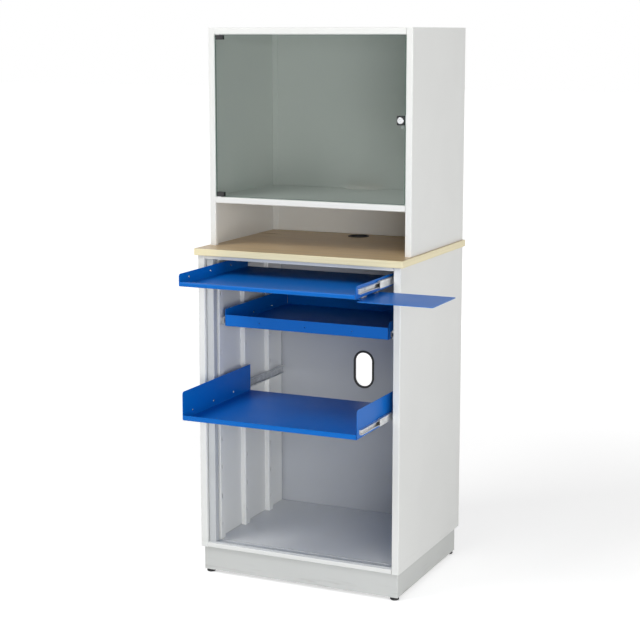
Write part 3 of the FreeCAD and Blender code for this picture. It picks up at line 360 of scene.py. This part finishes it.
def painted(name, node, colour, paler_tone, roughness=0.42, scuffs=None, gloss=0.42):
    """Powder coat on folded sheet: fine orange peel, cloudy sheen, and paler outer edges that are partly
    worn paint and partly a painted highlight.
    """
    low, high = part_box(node)
    finish, place = new_finish(name, {"Specular IOR Level": gloss})
    peel = cloud(place, PEEL)
    powder = cloud(place, POWDER)
    drift = cloud(place, DRIFT, detail=5.0)
    reach = []
    for axis, start, end in zip("XYZ", low, high):
        along = place.along(axis)
        reach.append((along - start).least(end - along).most(0.0))
    nearest = reach[0].least(reach[1]).least(reach[2])
    farthest = reach[0].most(reach[1]).most(reach[2])
    second = reach[0] + reach[1] + reach[2] - nearest - farthest
    # Paler outer edges, broken up by noise: worn paint and a painted highlight.
    edge_breaks = cloud(place, EDGE_BREAKS, detail=4.0).ramp(*EDGE_BREAK_REACH)
    edge = (1.0 - second.ramp(0.0, EDGE_WEAR_AND_HIGHLIGHT_WIDTH)) * edge_breaks
    full = drift.ramp(*DRIFT_REACH).mixed(powder, POWDER_SHADE_SHARE)
    coat = between(full, shaded(colour, DRIFT_SHADE), colour)
    coat = between(edge * EDGE_WEAR_AND_HIGHLIGHT_SHARE, coat, paler_tone)
    rough = roughness + drift.swing(DRIFT_GLOSS) + peel.swing(PEEL_GLOSS) - EDGE_POLISH * edge
    if scuffs:
        level, height, dirt = scuffs
        mark = lines(place, SCUFF_LINES, detail=5.0).ramp(*SCUFF_REACH)
        mark = mark * (1.0 - place.along("Z").ramp(level, level + height))
        coat = between(mark * SCUFF_SHARE, coat, dirt)
        rough = rough + SCUFF_DULL * mark
    return feed(finish, {
        "Base Color": coat,
        "Roughness": rough,
        "Normal": relief(peel.mixed(powder, POWDER_PEEL_SHARE), PEEL_DEPTH, strength=0.5),
    })


dress(painted("plinth_paint", "plinth", PLINTH_SHADED_GREY, PLINTH_EDGE_WEAR_HIGHLIGHT_AND_SHADE, SATIN, PLINTH_SCUFFS), "plinth")


# Lower cabinet
# Two folded sides with their front stiles and rear posts, a floor pan, rails and a back panel.
# All are sheet steel under white powder coat, welded or screwed into one carcass.
WHITE = (0.825, 0.832, 0.812, 1)
# Paler white for the outer edges: worn paint and a painted highlight.
WHITE_EDGE_WEAR_AND_HIGHLIGHT = (0.89, 0.895, 0.88, 1)
# The back panel has the same white paint as the carcass; its grey-blue here is painted shade and a
# painted reflection of the blue trays.
INNER_SHADE_AND_BLUE_REFLECTION = (0.53, 0.55, 0.58, 1)
INNER_EDGE_WEAR_HIGHLIGHT_AND_SHADE = (0.63, 0.65, 0.675, 1)
SHOE_MARK = (0.70, 0.70, 0.68, 1)
SIDE_SCUFFS = (84 * MM, 40 * MM, SHOE_MARK)
for piece in ("lower_left_side", "lower_right_side"):
    dress(painted(piece + "_paint", piece, WHITE, WHITE_EDGE_WEAR_AND_HIGHLIGHT, scuffs=SIDE_SCUFFS), piece)
for piece in ("lower_floor", "front_top_rail", "rear_top_rail"):
    dress(painted(piece + "_paint", piece, WHITE, WHITE_EDGE_WEAR_AND_HIGHLIGHT), piece)
dress(painted("lower_back_paint", "lower_back_panel", INNER_SHADE_AND_BLUE_REFLECTION, INNER_EDGE_WEAR_HIGHLIGHT_AND_SHADE, SATIN), "lower_back_panel")

# The opening in the back has a snap-in edging of black plastic.
TRIM_BLACK = (0.014, 0.014, 0.015, 1)
TRIM_WORN = (0.034, 0.034, 0.035, 1)
dress(moulded("opening_trim_plastic", TRIM_BLACK, TRIM_WORN, roughness=0.42), "back_opening_trim")


# Screws of the back panels
# Zinc-plated pan-head screws with a cross recess, driven through the flanges of the two backs.
# The same screws hold the slides to the walls of the pull-outs further on.
HEAD_RADIUS = 3.5 * MM
HEAD_HEIGHT = 1.6 * MM
HEAD_SIDES = 20
HEAD_PROFILE_SHARES = ((0.0, 1.0), (0.35, 0.985), (0.62, 0.9), (0.84, 0.68), (0.96, 0.38), (1.0, 0.0))
SHANK_RADIUS = 1.95 * MM
RECESS = (0.75 * MM, 3.4 * MM, 1.5 * MM)
SCREW_LINES = (700.0, 700.0, 700.0)
SCREW_ZINC = (0.74, 0.75, 0.755, 1)
screw_zinc = plated("screw_zinc", SCREW_LINES, SCREW_ZINC, roughness=0.26)


def lathe(name, profile):
    """Turn a profile of radius and height round the upright axis into a closed shape."""
    shape = bmesh.new()
    angles = [2 * math.pi * step / HEAD_SIDES for step in range(HEAD_SIDES)]
    rings = []
    for radius, height in profile:
        if radius == 0:
            rings.append([shape.verts.new((0, 0, height))] * HEAD_SIDES)
            continue
        round_places = [(radius * math.cos(a), radius * math.sin(a), height) for a in angles]
        rings.append([shape.verts.new(place) for place in round_places])
    for upper, lower in zip(rings, rings[1:]):
        for step in range(HEAD_SIDES):
            corner = [upper[step], upper[step - 1], lower[step - 1], lower[step]]
            shape.faces.new(list(dict.fromkeys(corner)))
    bmesh.ops.recalc_face_normals(shape, faces=shape.faces)
    mesh = bpy.data.meshes.new(name)
    shape.to_mesh(mesh)
    shape.free()
    for face in mesh.polygons:
        face.use_smooth = True
    turned = bpy.data.objects.new(name, mesh)
    scene.collection.objects.link(turned)
    return turned


screw_tree, screw = new_tree("cross_screws", {"Blank": "Object", "Recess": "Vector", "Seed": "Int"})
blank = screw["Blank"].node("GeometryNodeObjectInfo", None, {"Object": screw["Blank"]}, "Geometry")
arm = screw["Recess"].node("GeometryNodeMeshCube", None, {"Size": screw["Recess"]})
cut = blank
for quarter in (0.0, math.pi / 2):
    turned_arm = {"Geometry": arm, "Translation": (0, 0, HEAD_HEIGHT), "Rotation": (0, 0, quarter)}
    tool = arm.node("GeometryNodeTransform", None, turned_arm)
    slot = {"Mesh 1": cut, "Mesh 2": tool}
    cut = cut.node("GeometryNodeMeshBoolean", {"operation": "DIFFERENCE"}, slot)
named = {"data_type": "FLOAT_VECTOR"}
facing = cut.node("GeometryNodeInputNamedAttribute", named, {"Name": "facing"})
upright = facing.node("FunctionNodeAlignRotationToVector", {"axis": "Z"}, {"Vector": facing})
half_turn = {"Max": math.pi, "Seed": screw["Seed"]}
angle = screw["Seed"].node("FunctionNodeRandomValue", {"data_type": "FLOAT"}, half_turn, 1)
spin = angle.node("ShaderNodeCombineXYZ", None, {"Z": angle})
spin = spin.node("FunctionNodeEulerToRotation", None, {0: spin})
local = {"rotation_space": "LOCAL"}
driven = upright.node("FunctionNodeRotateRotation", local, {0: upright, 1: spin})
screw_places = {"Points": screw["Places"], "Instance": cut, "Rotation": driven}
close_tree(screw_tree, cut.node("GeometryNodeInstanceOnPoints", None, screw_places), screw["Finish"])


def drive_screws(node, body, seed):
    """Put a cross-head screw in the place of each plain one, its head towards the middle."""
    places, facings, reach = [], [], 0
    for low, high in solids(node):
        side = 1 if low.x < 0 else -1
        seat = (high.x if side > 0 else low.x) - side * HEAD_HEIGHT
        places.append((seat, (low.y + high.y) / 2, (low.z + high.z) / 2))
        facings.append((side, 0, 0))
        reach = high.x - low.x - HEAD_HEIGHT
    outline = [(across * HEAD_RADIUS, up * HEAD_HEIGHT) for across, up in HEAD_PROFILE_SHARES]
    outline += [(SHANK_RADIUS, 0.0), (SHANK_RADIUS, -reach), (0.0, -reach)]
    turned = lathe(node + "_blank", outline)
    sizes = {"Blank": turned, "Recess": RECESS, "Seed": seed, "Finish": screw_zinc}
    piece = grow(node + "_crossed", screw_tree, places, sizes, facings)
    bpy.data.objects.remove(turned)
    settle(piece, body, "zinc", node)


drive_screws("rear_screws", "cabinet", seed=3)


# Roller shutter
# A curtain of narrow plastic slats, parked round the left corner behind the inner wall.
# It runs in tracks at the floor and head, and a drawn aluminium bar ends it at the opening.
BAR_LINES = (900.0, 900.0, 2.0)
SLAT_LINES = (1100.0, 1100.0, 3.0)
TRACK_LINES = (2.0, 900.0, 900.0)
BAR_GREY = (0.56, 0.58, 0.59, 1)
SLAT_GREY = (0.50, 0.52, 0.53, 1)
TRACK_GREY = (0.58, 0.60, 0.61, 1)
STRIP_DRIFT = 14.0
STRIP_DRIFT_SHARE = 0.4
STRIP_DRIFT_GLOSS = 0.14
STRIP_REACH = (0.3, 0.7)
STRIP_SHADE = 0.9
STRIP_LINE_GLOSS = 0.1
STRIP_LINE_DEPTH = 0.08 * MM


def extruded(name, to_metre, colour, roughness):
    """A drawn or pressed strip with fine lines along its length."""
    finish, place = new_finish(name, {"Metallic": 0.0})
    drawn = lines(place, to_metre, detail=2.0)
    drift = cloud(place, STRIP_DRIFT, detail=4.0)
    full = drawn.mixed(drift, STRIP_DRIFT_SHARE).ramp(*STRIP_REACH)
    return feed(finish, {
        "Base Color": between(full, shaded(colour, STRIP_SHADE), colour),
        "Roughness": roughness + drift.swing(STRIP_DRIFT_GLOSS) + drawn.swing(STRIP_LINE_GLOSS),
        "Normal": relief(drawn, STRIP_LINE_DEPTH, strength=0.5),
    })


dress(extruded("shutter_bar_finish", BAR_LINES, BAR_GREY, roughness=0.42), "shutter_end_bar")
dress(extruded("shutter_slat_plastic", SLAT_LINES, SLAT_GREY, roughness=0.5), "shutter_slats")
track_grey = extruded("shutter_track_finish", TRACK_LINES, TRACK_GREY, roughness=0.4)
dress(track_grey, "shutter_bottom_track", "shutter_top_track")


# Inner wall and uprights
# A sheet wall closes off the parked shutter, and six slotted uprights take the slides.
# They are thin folded steel under the same white powder coat as the carcass.
dress(painted("pocket_wall_paint", "left_pocket_wall", WHITE, WHITE_EDGE_WEAR_AND_HIGHLIGHT, SATIN), "left_pocket_wall")
for side in ("left", "right"):
    for row in ("front", "middle", "rear"):
        piece = f"{side}_{row}_upright"
        dress(painted(piece + "_paint", piece, WHITE, WHITE_EDGE_WEAR_AND_HIGHLIGHT, roughness=0.44), piece)


# Ball slides
# Three-part slides: an outer rail on the uprights, a running rail, and a rail on the pull-out.
# They are rolled from zinc-plated strip, and rows of steel balls in thin cages run between them.
MEMBER_DEPTH = 8.2 * MM
STRIP = 1.2 * MM
RACE = 2.8 * MM
LIP_SHARE = 0.8
LIP_FACE_SHARE = 0.6
LIP_ROOT_SHARE = 0.9
GROOVE_PLACE_SHARE = 0.5
GROOVE_FLOOR_SHARE = 0.75
WEB_BEND_SHARE = 0.3
BALL = 1.5 * MM
BALL_PITCH = 6 * MM
BALL_TRACK_SHARE = 0.55
CAGE = 0.35 * MM
CAGE_HALF = 1.6 * MM
CAGE_END = 26 * MM
SLIDE_LINES = (500.0, 4.0, 500.0)
BALL_LINES = (90.0, 90.0, 90.0)
BALL_STEEL = (0.80, 0.80, 0.81, 1)
SPACER_ZINC = (0.60, 0.61, 0.62, 1)
slide_zinc = plated("slide_zinc", SLIDE_LINES)
ball_steel = plated("ball_steel", BALL_LINES, BALL_STEEL, roughness=0.16)


def run(outlines, front, rear):
    """Draw flat outlines, given across and upwards, from front to rear into closed strips."""
    shape = bmesh.new()
    for outline in outlines:
        ends = [[shape.verts.new((x, y, z)) for x, z in outline] for y in (front, rear)]
        for step in range(len(outline)):
            shape.faces.new((ends[0][step - 1], ends[0][step], ends[1][step], ends[1][step - 1]))
        shape.faces.new(ends[0])
        shape.faces.new(ends[1])
    bmesh.ops.recalc_face_normals(shape, faces=shape.faces)
    return shape


def keep(name, shape, finish):
    """Turn worked metal into a piece of its own."""
    mesh = bpy.data.meshes.new(name)
    shape.to_mesh(mesh)
    shape.free()
    mesh.materials.append(finish)
    piece = bpy.data.objects.new(name, mesh)
    scene.collection.objects.link(piece)
    return piece


def running_rail(near, way, low, high):
    """Outline of one rolled running rail: web, two lipped flanges and the grooves of the balls."""
    web = near + way * STRIP
    web_bend = web + way * STRIP * WEB_BEND_SHARE
    groove = near + way * MEMBER_DEPTH * GROOVE_PLACE_SHARE
    outer = near + way * MEMBER_DEPTH
    lip = RACE * LIP_SHARE
    lower = [
        (near, 0.0),
        (outer, 0.0),
        (outer, lip),
        (outer - way * STRIP * LIP_FACE_SHARE, lip),
        (outer - way * STRIP * LIP_ROOT_SHARE, STRIP),
        (groove, STRIP * GROOVE_FLOOR_SHARE),
        (web_bend, STRIP),
        (web, RACE),
    ]
    upper = [(across, high - rise) for across, rise in reversed(lower)]
    return [(across, low + rise) for across, rise in lower] + upper


ball_tree, ball = new_tree("ball_rows", {"Count": "Int", "Pitch": "Float", "Radius": "Float"})
step = ball["Pitch"].node("ShaderNodeCombineXYZ", None, {"Y": ball["Pitch"]})
row = step.node("GeometryNodeMeshLine", None, {"Count": ball["Count"], "Offset": step})
round_ball = {"Radius": ball["Radius"], "Subdivisions": 2}
one_ball = ball["Radius"].node("GeometryNodeMeshIcoSphere", None, round_ball)
smooth = one_ball.node("GeometryNodeSetShadeSmooth", None, {0: one_ball})
balls = row.node("GeometryNodeInstanceOnPoints", None, {"Points": row, "Instance": smooth})
rows = balls.node("GeometryNodeInstanceOnPoints", None, {"Points": ball["Places"], "Instance": balls})
close_tree(ball_tree, rows, ball["Finish"])


def fit_slides(pull_out):
    """Replace the plain running rails of one pull-out by rolled ones with cages and balls."""
    node = pull_out + "_middle_slides"
    body = pull_out + "_runner"
    low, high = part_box(node)
    rails, cages, starts = [], [], []
    for near, way in ((low.x, 1), (high.x, -1)):
        rails.append(running_rail(near, way, low.z, high.z))
        middle = near + way * MEMBER_DEPTH * BALL_TRACK_SHARE
        sides = (middle - way * CAGE_HALF, middle + way * CAGE_HALF)
        for level, inward in ((low.z, 1), (high.z, -1)):
            seat = level + inward * STRIP
            top = seat + inward * CAGE
            cages.append([(sides[0], seat), (sides[1], seat), (sides[1], top), (sides[0], top)])
            starts.append((middle, low.y + CAGE_END + BALL_PITCH, seat + inward * BALL / 2))
    settle(keep(node + "_rolled", run(rails, low.y, high.y), slide_zinc), body, "zinc", node)
    strips = run(cages, low.y + CAGE_END, high.y - CAGE_END)
    settle(keep(node + "_cages", strips, slide_zinc), body, "zinc")
    count = int((high.y - low.y - 2 * (CAGE_END + BALL_PITCH)) / BALL_PITCH) + 1
    sizes = {"Count": count, "Pitch": BALL_PITCH, "Radius": BALL / 2, "Finish": ball_steel}
    settle(grow(node + "_balls", ball_tree, starts, sizes), body, "zinc")


for pull_out in ("keyboard", "drawer", "printer"):
    fit_slides(pull_out)
    dress(slide_zinc, pull_out + "_outer_slides", pull_out + "_inner_slides")
dress(plated("spacer_zinc", SLIDE_LINES, SPACER_ZINC), "drawer_spacers")


# Pull-out trays and drawer
# Shallow trays folded from sheet steel, powder coated blue, that hang between the slides.
# Their walls are screwed to the inner rails, and a rolled lip stiffens each front edge.
BLUE = (0.000, 0.140, 0.550, 1)
# Paler blue for the outer edges: worn paint and a painted highlight.
BLUE_EDGE_WEAR_AND_HIGHLIGHT = (0.06, 0.24, 0.64, 1)
BLUE_GLOSS = 0.2
for piece in ("drawer", "printer_shelf", "keyboard_tray"):
    dress(painted(piece + "_paint", piece, BLUE, BLUE_EDGE_WEAR_AND_HIGHLIGHT, roughness=0.38, gloss=BLUE_GLOSS), piece)
for seed, pull_out in enumerate(("keyboard", "drawer", "printer")):
    drive_screws(pull_out + "_screws", pull_out + "_pull_out", seed)


# Side plate
# A flat blue plate that slides out to the right from under the upper tray.
# Its tongue hangs by zinc-plated studs in two folded rails under the tray.
RAIL_LINES = (4.0, 500.0, 500.0)
SMALL_PART_LINES = (300.0, 300.0, 300.0)
STUD_ZINC = (0.70, 0.71, 0.72, 1)
plate_blue = painted("mouse_plate_paint", "mouse_tray", BLUE, BLUE_EDGE_WEAR_AND_HIGHLIGHT, roughness=0.36, gloss=BLUE_GLOSS)
dress(plate_blue, "mouse_tray")
dress(plated("mouse_rail_zinc", RAIL_LINES), "mouse_tray_rails")
dress(plated("mouse_stud_zinc", SMALL_PART_LINES, STUD_ZINC, roughness=0.3), "mouse_tray_studs")


# Worktop
# A particle board with a beech-look laminate on both faces, bonded under heat.
# A pale plastic edging is glued round all four sides, and a black ring lines the hole at the rear.
BEECH = (0.600, 0.440, 0.245, 1)
BEECH_DARK = (0.490, 0.340, 0.178, 1)
BEECH_FLECK = (0.370, 0.245, 0.118, 1)
BEECH_ROUGHNESS = 0.31
SWAY = 2.0
SWAY_STRETCH = (1.0, 3.0, 3.0)
SWAY_SHARE = 0.15
SWAY_GLOSS = 0.1
STREAKS = (1.6, 55.0, 55.0)
STREAK_SHARE = 0.55
STREAK_GLOSS = 0.14
FIGURE = (5.0, 190.0, 190.0)
FIGURE_SHARE = 0.3
FIGURE_RISE = 0.4
PALE_WOOD = (0.38, 0.62)
FLECKS = (120.0, 1500.0, 1500.0)
FLECKED = (0.62, 0.74)
FLECK_SHARE = 0.55
FLECK_SINK = 0.6
PORE_DEPTH = 0.08 * MM
beech, place = new_finish("beech_laminate", {"Specular IOR Level": 0.3})
sway = cloud(place, SWAY, detail=3.0, stretch=SWAY_STRETCH)
streak = lines(place, STREAKS, detail=5.0)
figure = lines(place, FIGURE, detail=3.0)
fleck = lines(place, FLECKS, detail=2.0)
pale = (streak * STREAK_SHARE + figure * FIGURE_SHARE + sway * SWAY_SHARE).ramp(*PALE_WOOD)
wood = between(pale, BEECH_DARK, BEECH)
feed(beech, {
    "Base Color": between(fleck.ramp(*FLECKED) * FLECK_SHARE, wood, BEECH_FLECK),
    "Roughness": BEECH_ROUGHNESS + streak.swing(STREAK_GLOSS) + sway.swing(SWAY_GLOSS),
    "Normal": relief(fleck * -FLECK_SINK + figure * FIGURE_RISE, PORE_DEPTH, strength=0.5),
})
dress(beech, "worktop")

EDGING = (0.890, 0.805, 0.535, 1)
EDGING_DARK = (0.820, 0.725, 0.455, 1)
EDGING_ROUGHNESS = 0.4
VEINS = (3.0, 3.0, 420.0)
VEINED = (0.35, 0.66)
VEIN_GLOSS = 0.2
EDGING_GRAIN = 700.0
EDGING_GRAIN_SHARE = 0.4
EDGING_GRAIN_GLOSS = 0.1
EDGING_DEPTH = 0.1 * MM
edging, place = new_finish("edge_band_plastic", {"Specular IOR Level": 0.45})
vein = lines(place, VEINS, detail=4.0)
dust = cloud(place, EDGING_GRAIN)
feed(edging, {
    "Base Color": between(vein.ramp(*VEINED), EDGING_DARK, EDGING),
    "Roughness": EDGING_ROUGHNESS + vein.swing(VEIN_GLOSS) + dust.swing(EDGING_GRAIN_GLOSS),
    "Normal": relief(vein.mixed(dust, EDGING_GRAIN_SHARE), EDGING_DEPTH, strength=0.4),
})
dress(edging, "worktop_edge_band")
RING_BLACK = (0.013, 0.013, 0.014, 1)
dress(moulded("grommet_plastic", RING_BLACK, BLACK_WORN, roughness=0.46), "cable_grommet")


# Upper housing
# An open box of folded white sheet steel that stands on the worktop behind the front edge.
# Two sides carry the top, an inner shelf, and a back panel screwed in from inside.
for piece in ("upper_left_side", "upper_right_side", "upper_top", "monitor_shelf"):
    dress(painted(piece + "_paint", piece, WHITE, WHITE_EDGE_WEAR_AND_HIGHLIGHT, roughness=0.4), piece)
dress(painted("upper_back_paint", "upper_back_panel", WHITE, WHITE_EDGE_WEAR_AND_HIGHLIGHT, SATIN), "upper_back_panel")


# Glass door
# A pane of grey-tinted safety glass, 5 mm thick with ground edges, hung at its left corners.
# Black clips grip it top and bottom, and their steel pins turn in nylon bushes in the housing.
GLASS_TINT = (0.830, 0.846, 0.838, 1)
GLASS_EDGE = (0.10, 0.22, 0.17, 1)
GROUND = 1.6 * MM
GROUND_GLINT = 0.6
GLASS_ROUGHNESS = 0.04
SMEAR = 7.0
SMEAR_STRETCH = (1.0, 1.0, 0.45)
SMEAR_DULL = 0.05
SMEAR_DULL_REACH = (0.45, 0.8)
SMEAR_GLINT = 0.02
SMEAR_GLINT_REACH = (0.5, 0.8)
MIRROR = 0.04
SLANT_POWER = 5.0
CLIP_BLACK = (0.011, 0.011, 0.012, 1)
CLIP_WORN = (0.028, 0.028, 0.029, 1)
NYLON = (0.74, 0.73, 0.69, 1)
NYLON_WORN = (0.80, 0.79, 0.75, 1)
low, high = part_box("glass_door")
glass, place = new_finish("door_glass", {
    "Base Color": GLASS_EDGE, "IOR": 1.5, "Specular IOR Level": 0.5,
})
smear = cloud(place, SMEAR, detail=5.0, stretch=SMEAR_STRETCH)
wide, tall = place.along("X"), place.along("Z")
inside = (wide - low.x).least(high.x - wide).least(tall - low.z).least(high.z - tall)
ground = 1.0 - inside.ramp(0.0, GROUND)
slant = place.node("ShaderNodeLayerWeight", None, {"Blend": 0.5}, "Facing")
shine = MIRROR + (1.0 - MIRROR) * slant ** SLANT_POWER
feed(glass, {"Roughness": GLASS_ROUGHNESS + SMEAR_DULL * smear.ramp(*SMEAR_DULL_REACH)})
tree = glass.node_tree
clear = tree.nodes.new("ShaderNodeBsdfTransparent")
clear.inputs["Color"].default_value = GLASS_TINT
blend = tree.nodes.new("ShaderNodeMixShader")
glint = shine + SMEAR_GLINT * smear.ramp(*SMEAR_GLINT_REACH) + GROUND_GLINT * ground
tree.links.new(glint.least(1.0).socket, blend.inputs[0])
tree.links.new(clear.outputs[0], blend.inputs[1])
tree.links.new(tree.nodes["Principled BSDF"].outputs[0], blend.inputs[2])
tree.links.new(blend.outputs[0], tree.nodes["Material Output"].inputs["Surface"])
dress(glass, "glass_door")
dress(moulded("clip_plastic", CLIP_BLACK, CLIP_WORN, roughness=0.44), "hinge_clamps")
dress(plated("pin_steel", SMALL_PART_LINES), "hinge_pins")
dress(moulded("bush_nylon", NYLON, NYLON_WORN, roughness=0.5), "hinge_bushes")


# Lock
# A small chromed cylinder lock, clamped through the right edge of the glass by a black collar.
# A quarter turn of the key swings its steel cam behind the strike on the housing.
CHROME = (0.78, 0.79, 0.80, 1)
CHROME_DULL_SHARE = 0.8
CHROME_ROUGHNESS = 0.12
HAIRLINES = (1400.0, 200.0, 350.0)
HAIRLINE_REACH = (0.5, 0.75)
HAIRLINE_DULL = 0.16
HAIRLINE_DEPTH = 0.03 * MM
FINGER_MARKS = 160.0
FINGER_MARK_REACH = (0.35, 0.7)
FINGER_MARK_GLOSS = 0.08
lock_chrome, place = new_finish("lock_chrome", {"Metallic": 1.0})
hair = lines(place, HAIRLINES, detail=3.0)
marks = cloud(place, FINGER_MARKS, detail=3.0)
scratched = HAIRLINE_DULL * hair.ramp(*HAIRLINE_REACH)
dull_chrome = shaded(CHROME, CHROME_DULL_SHARE)
feed(lock_chrome, {
    "Base Color": between(marks.ramp(*FINGER_MARK_REACH), dull_chrome, CHROME),
    "Roughness": CHROME_ROUGHNESS + scratched + marks.swing(FINGER_MARK_GLOSS),
    "Normal": relief(hair, HAIRLINE_DEPTH, strength=0.5),
})
dress(lock_chrome, "lock_cylinder")
dress(moulded("lock_collar_plastic", CLIP_BLACK, CLIP_WORN, roughness=0.4), "lock_housing")
dress(plated("lock_cam_zinc", SMALL_PART_LINES), "lock_cam")
dress(plated("lock_strike_zinc", SMALL_PART_LINES), "lock_strike")


# Studio
# A plain white sweep with three large soft lamps: low beside the camera, high at the left and
# at the right. The sky is an even soft light, and it and the floor look white to the camera.
FLOOR_HALF = 40.0
FLOOR_MOTTLE = 2.0
FLOOR_DARKER = (0.83, 0.83, 0.83, 1)
FLOOR_PALER = (0.86, 0.86, 0.86, 1)
FLOOR_GLOW = 0.52
FAR_GLOW = 0.32
FAR_REACH = (1.0, 4.5)
NO_LIGHT = (0, 0, 0, 1)
FULL_LIGHT = (1, 1, 1, 1)
SKY = 0.3


def looked_at(place):
    """One where an eye, a mirror or a pane looks at a surface, nought where it only gives light."""
    ray = place.node("ShaderNodeLightPath", None, None, "Is Camera Ray")
    rays = ray.socket.node.outputs
    return ray.most(Tone(rays["Is Glossy Ray"])).most(Tone(rays["Is Transmission Ray"]))


floor_mesh = bpy.data.meshes.new("studio_floor")
corners = [(-FLOOR_HALF, -FLOOR_HALF), (FLOOR_HALF, -FLOOR_HALF)]
corners += [(FLOOR_HALF, FLOOR_HALF), (-FLOOR_HALF, FLOOR_HALF)]
floor_mesh.from_pydata([(x, y, 0.0) for x, y in corners], [], [(0, 1, 2, 3)])
floor = bpy.data.objects.new("studio_floor", floor_mesh)
scene.collection.objects.link(floor)
sweep, place = new_finish("floor_sweep", {
    "Roughness": 0.9, "Specular IOR Level": 0.1, "Emission Strength": 1.0,
})
distance = place.node("ShaderNodeVectorMath", {"operation": "LENGTH"}, {0: place}, "Value")
glow = looked_at(place) * (FLOOR_GLOW + FAR_GLOW * distance.ramp(*FAR_REACH))
feed(sweep, {
    "Base Color": between(cloud(place, FLOOR_MOTTLE, detail=3.0), FLOOR_DARKER, FLOOR_PALER),
    "Emission Color": between(glow, NO_LIGHT, FULL_LIGHT),
})
floor_mesh.materials.append(sweep)
floor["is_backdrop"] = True

world = bpy.data.worlds.new("studio")
world.use_nodes = True
scene.world = world
sky = world.node_tree.nodes["Background"]
sky.inputs["Color"].default_value = FULL_LIGHT
white = SKY + (1.0 - SKY) * looked_at(Tone(sky.inputs["Strength"]))
world.node_tree.links.new(white.socket, sky.inputs["Strength"])


def lamp(name, place, aim, size, power):
    """A soft square lamp that points at a spot."""
    light = bpy.data.lights.new(name, "AREA")
    light.size = size
    light.energy = power
    stand = bpy.data.objects.new(name, light)
    stand.location = place
    stand.rotation_euler = (Vector(aim) - Vector(place)).to_track_quat("-Z", "Y").to_euler()
    scene.collection.objects.link(stand)


lamp("front_lamp", place=(2.9, -4.3, 1.15), aim=(0.0, 0.0, 1.0), size=2.2, power=115.0)
lamp("upper_left_lamp", place=(-2.0, -2.6, 4.0), aim=(0.0, -0.1, 1.3), size=2.0, power=92.0)
lamp("right_lamp", place=(4.5, -0.6, 1.9), aim=(0.0, 0.0, 0.9), size=2.4, power=30.0)

# The camera stands in front and to the right, at eye height, and looks slightly down.
CAMERA_PLACE = (1.944, -4.345, 1.633)
CAMERA_YAW = 24.580
CAMERA_PITCH = 9.123
CAMERA_FOCUS_PIXELS = 1579.1
CAMERA_SHIFT = -0.05
IMAGE_PIXELS = 640
SENSOR = 36.0
lens = bpy.data.cameras.new("camera")
lens.sensor_width = SENSOR
lens.sensor_fit = "HORIZONTAL"
lens.lens = SENSOR * (CAMERA_FOCUS_PIXELS / IMAGE_PIXELS)
lens.shift_y = CAMERA_SHIFT
camera = bpy.data.objects.new("camera", lens)
camera.location = CAMERA_PLACE
camera.rotation_euler = (math.radians(90 - CAMERA_PITCH), 0, math.radians(CAMERA_YAW))
scene.collection.objects.link(camera)
scene.camera = camera
scene.view_settings.view_transform = "Standard"

# The box round the dressed scene, floor left out, is measured.
low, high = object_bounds()
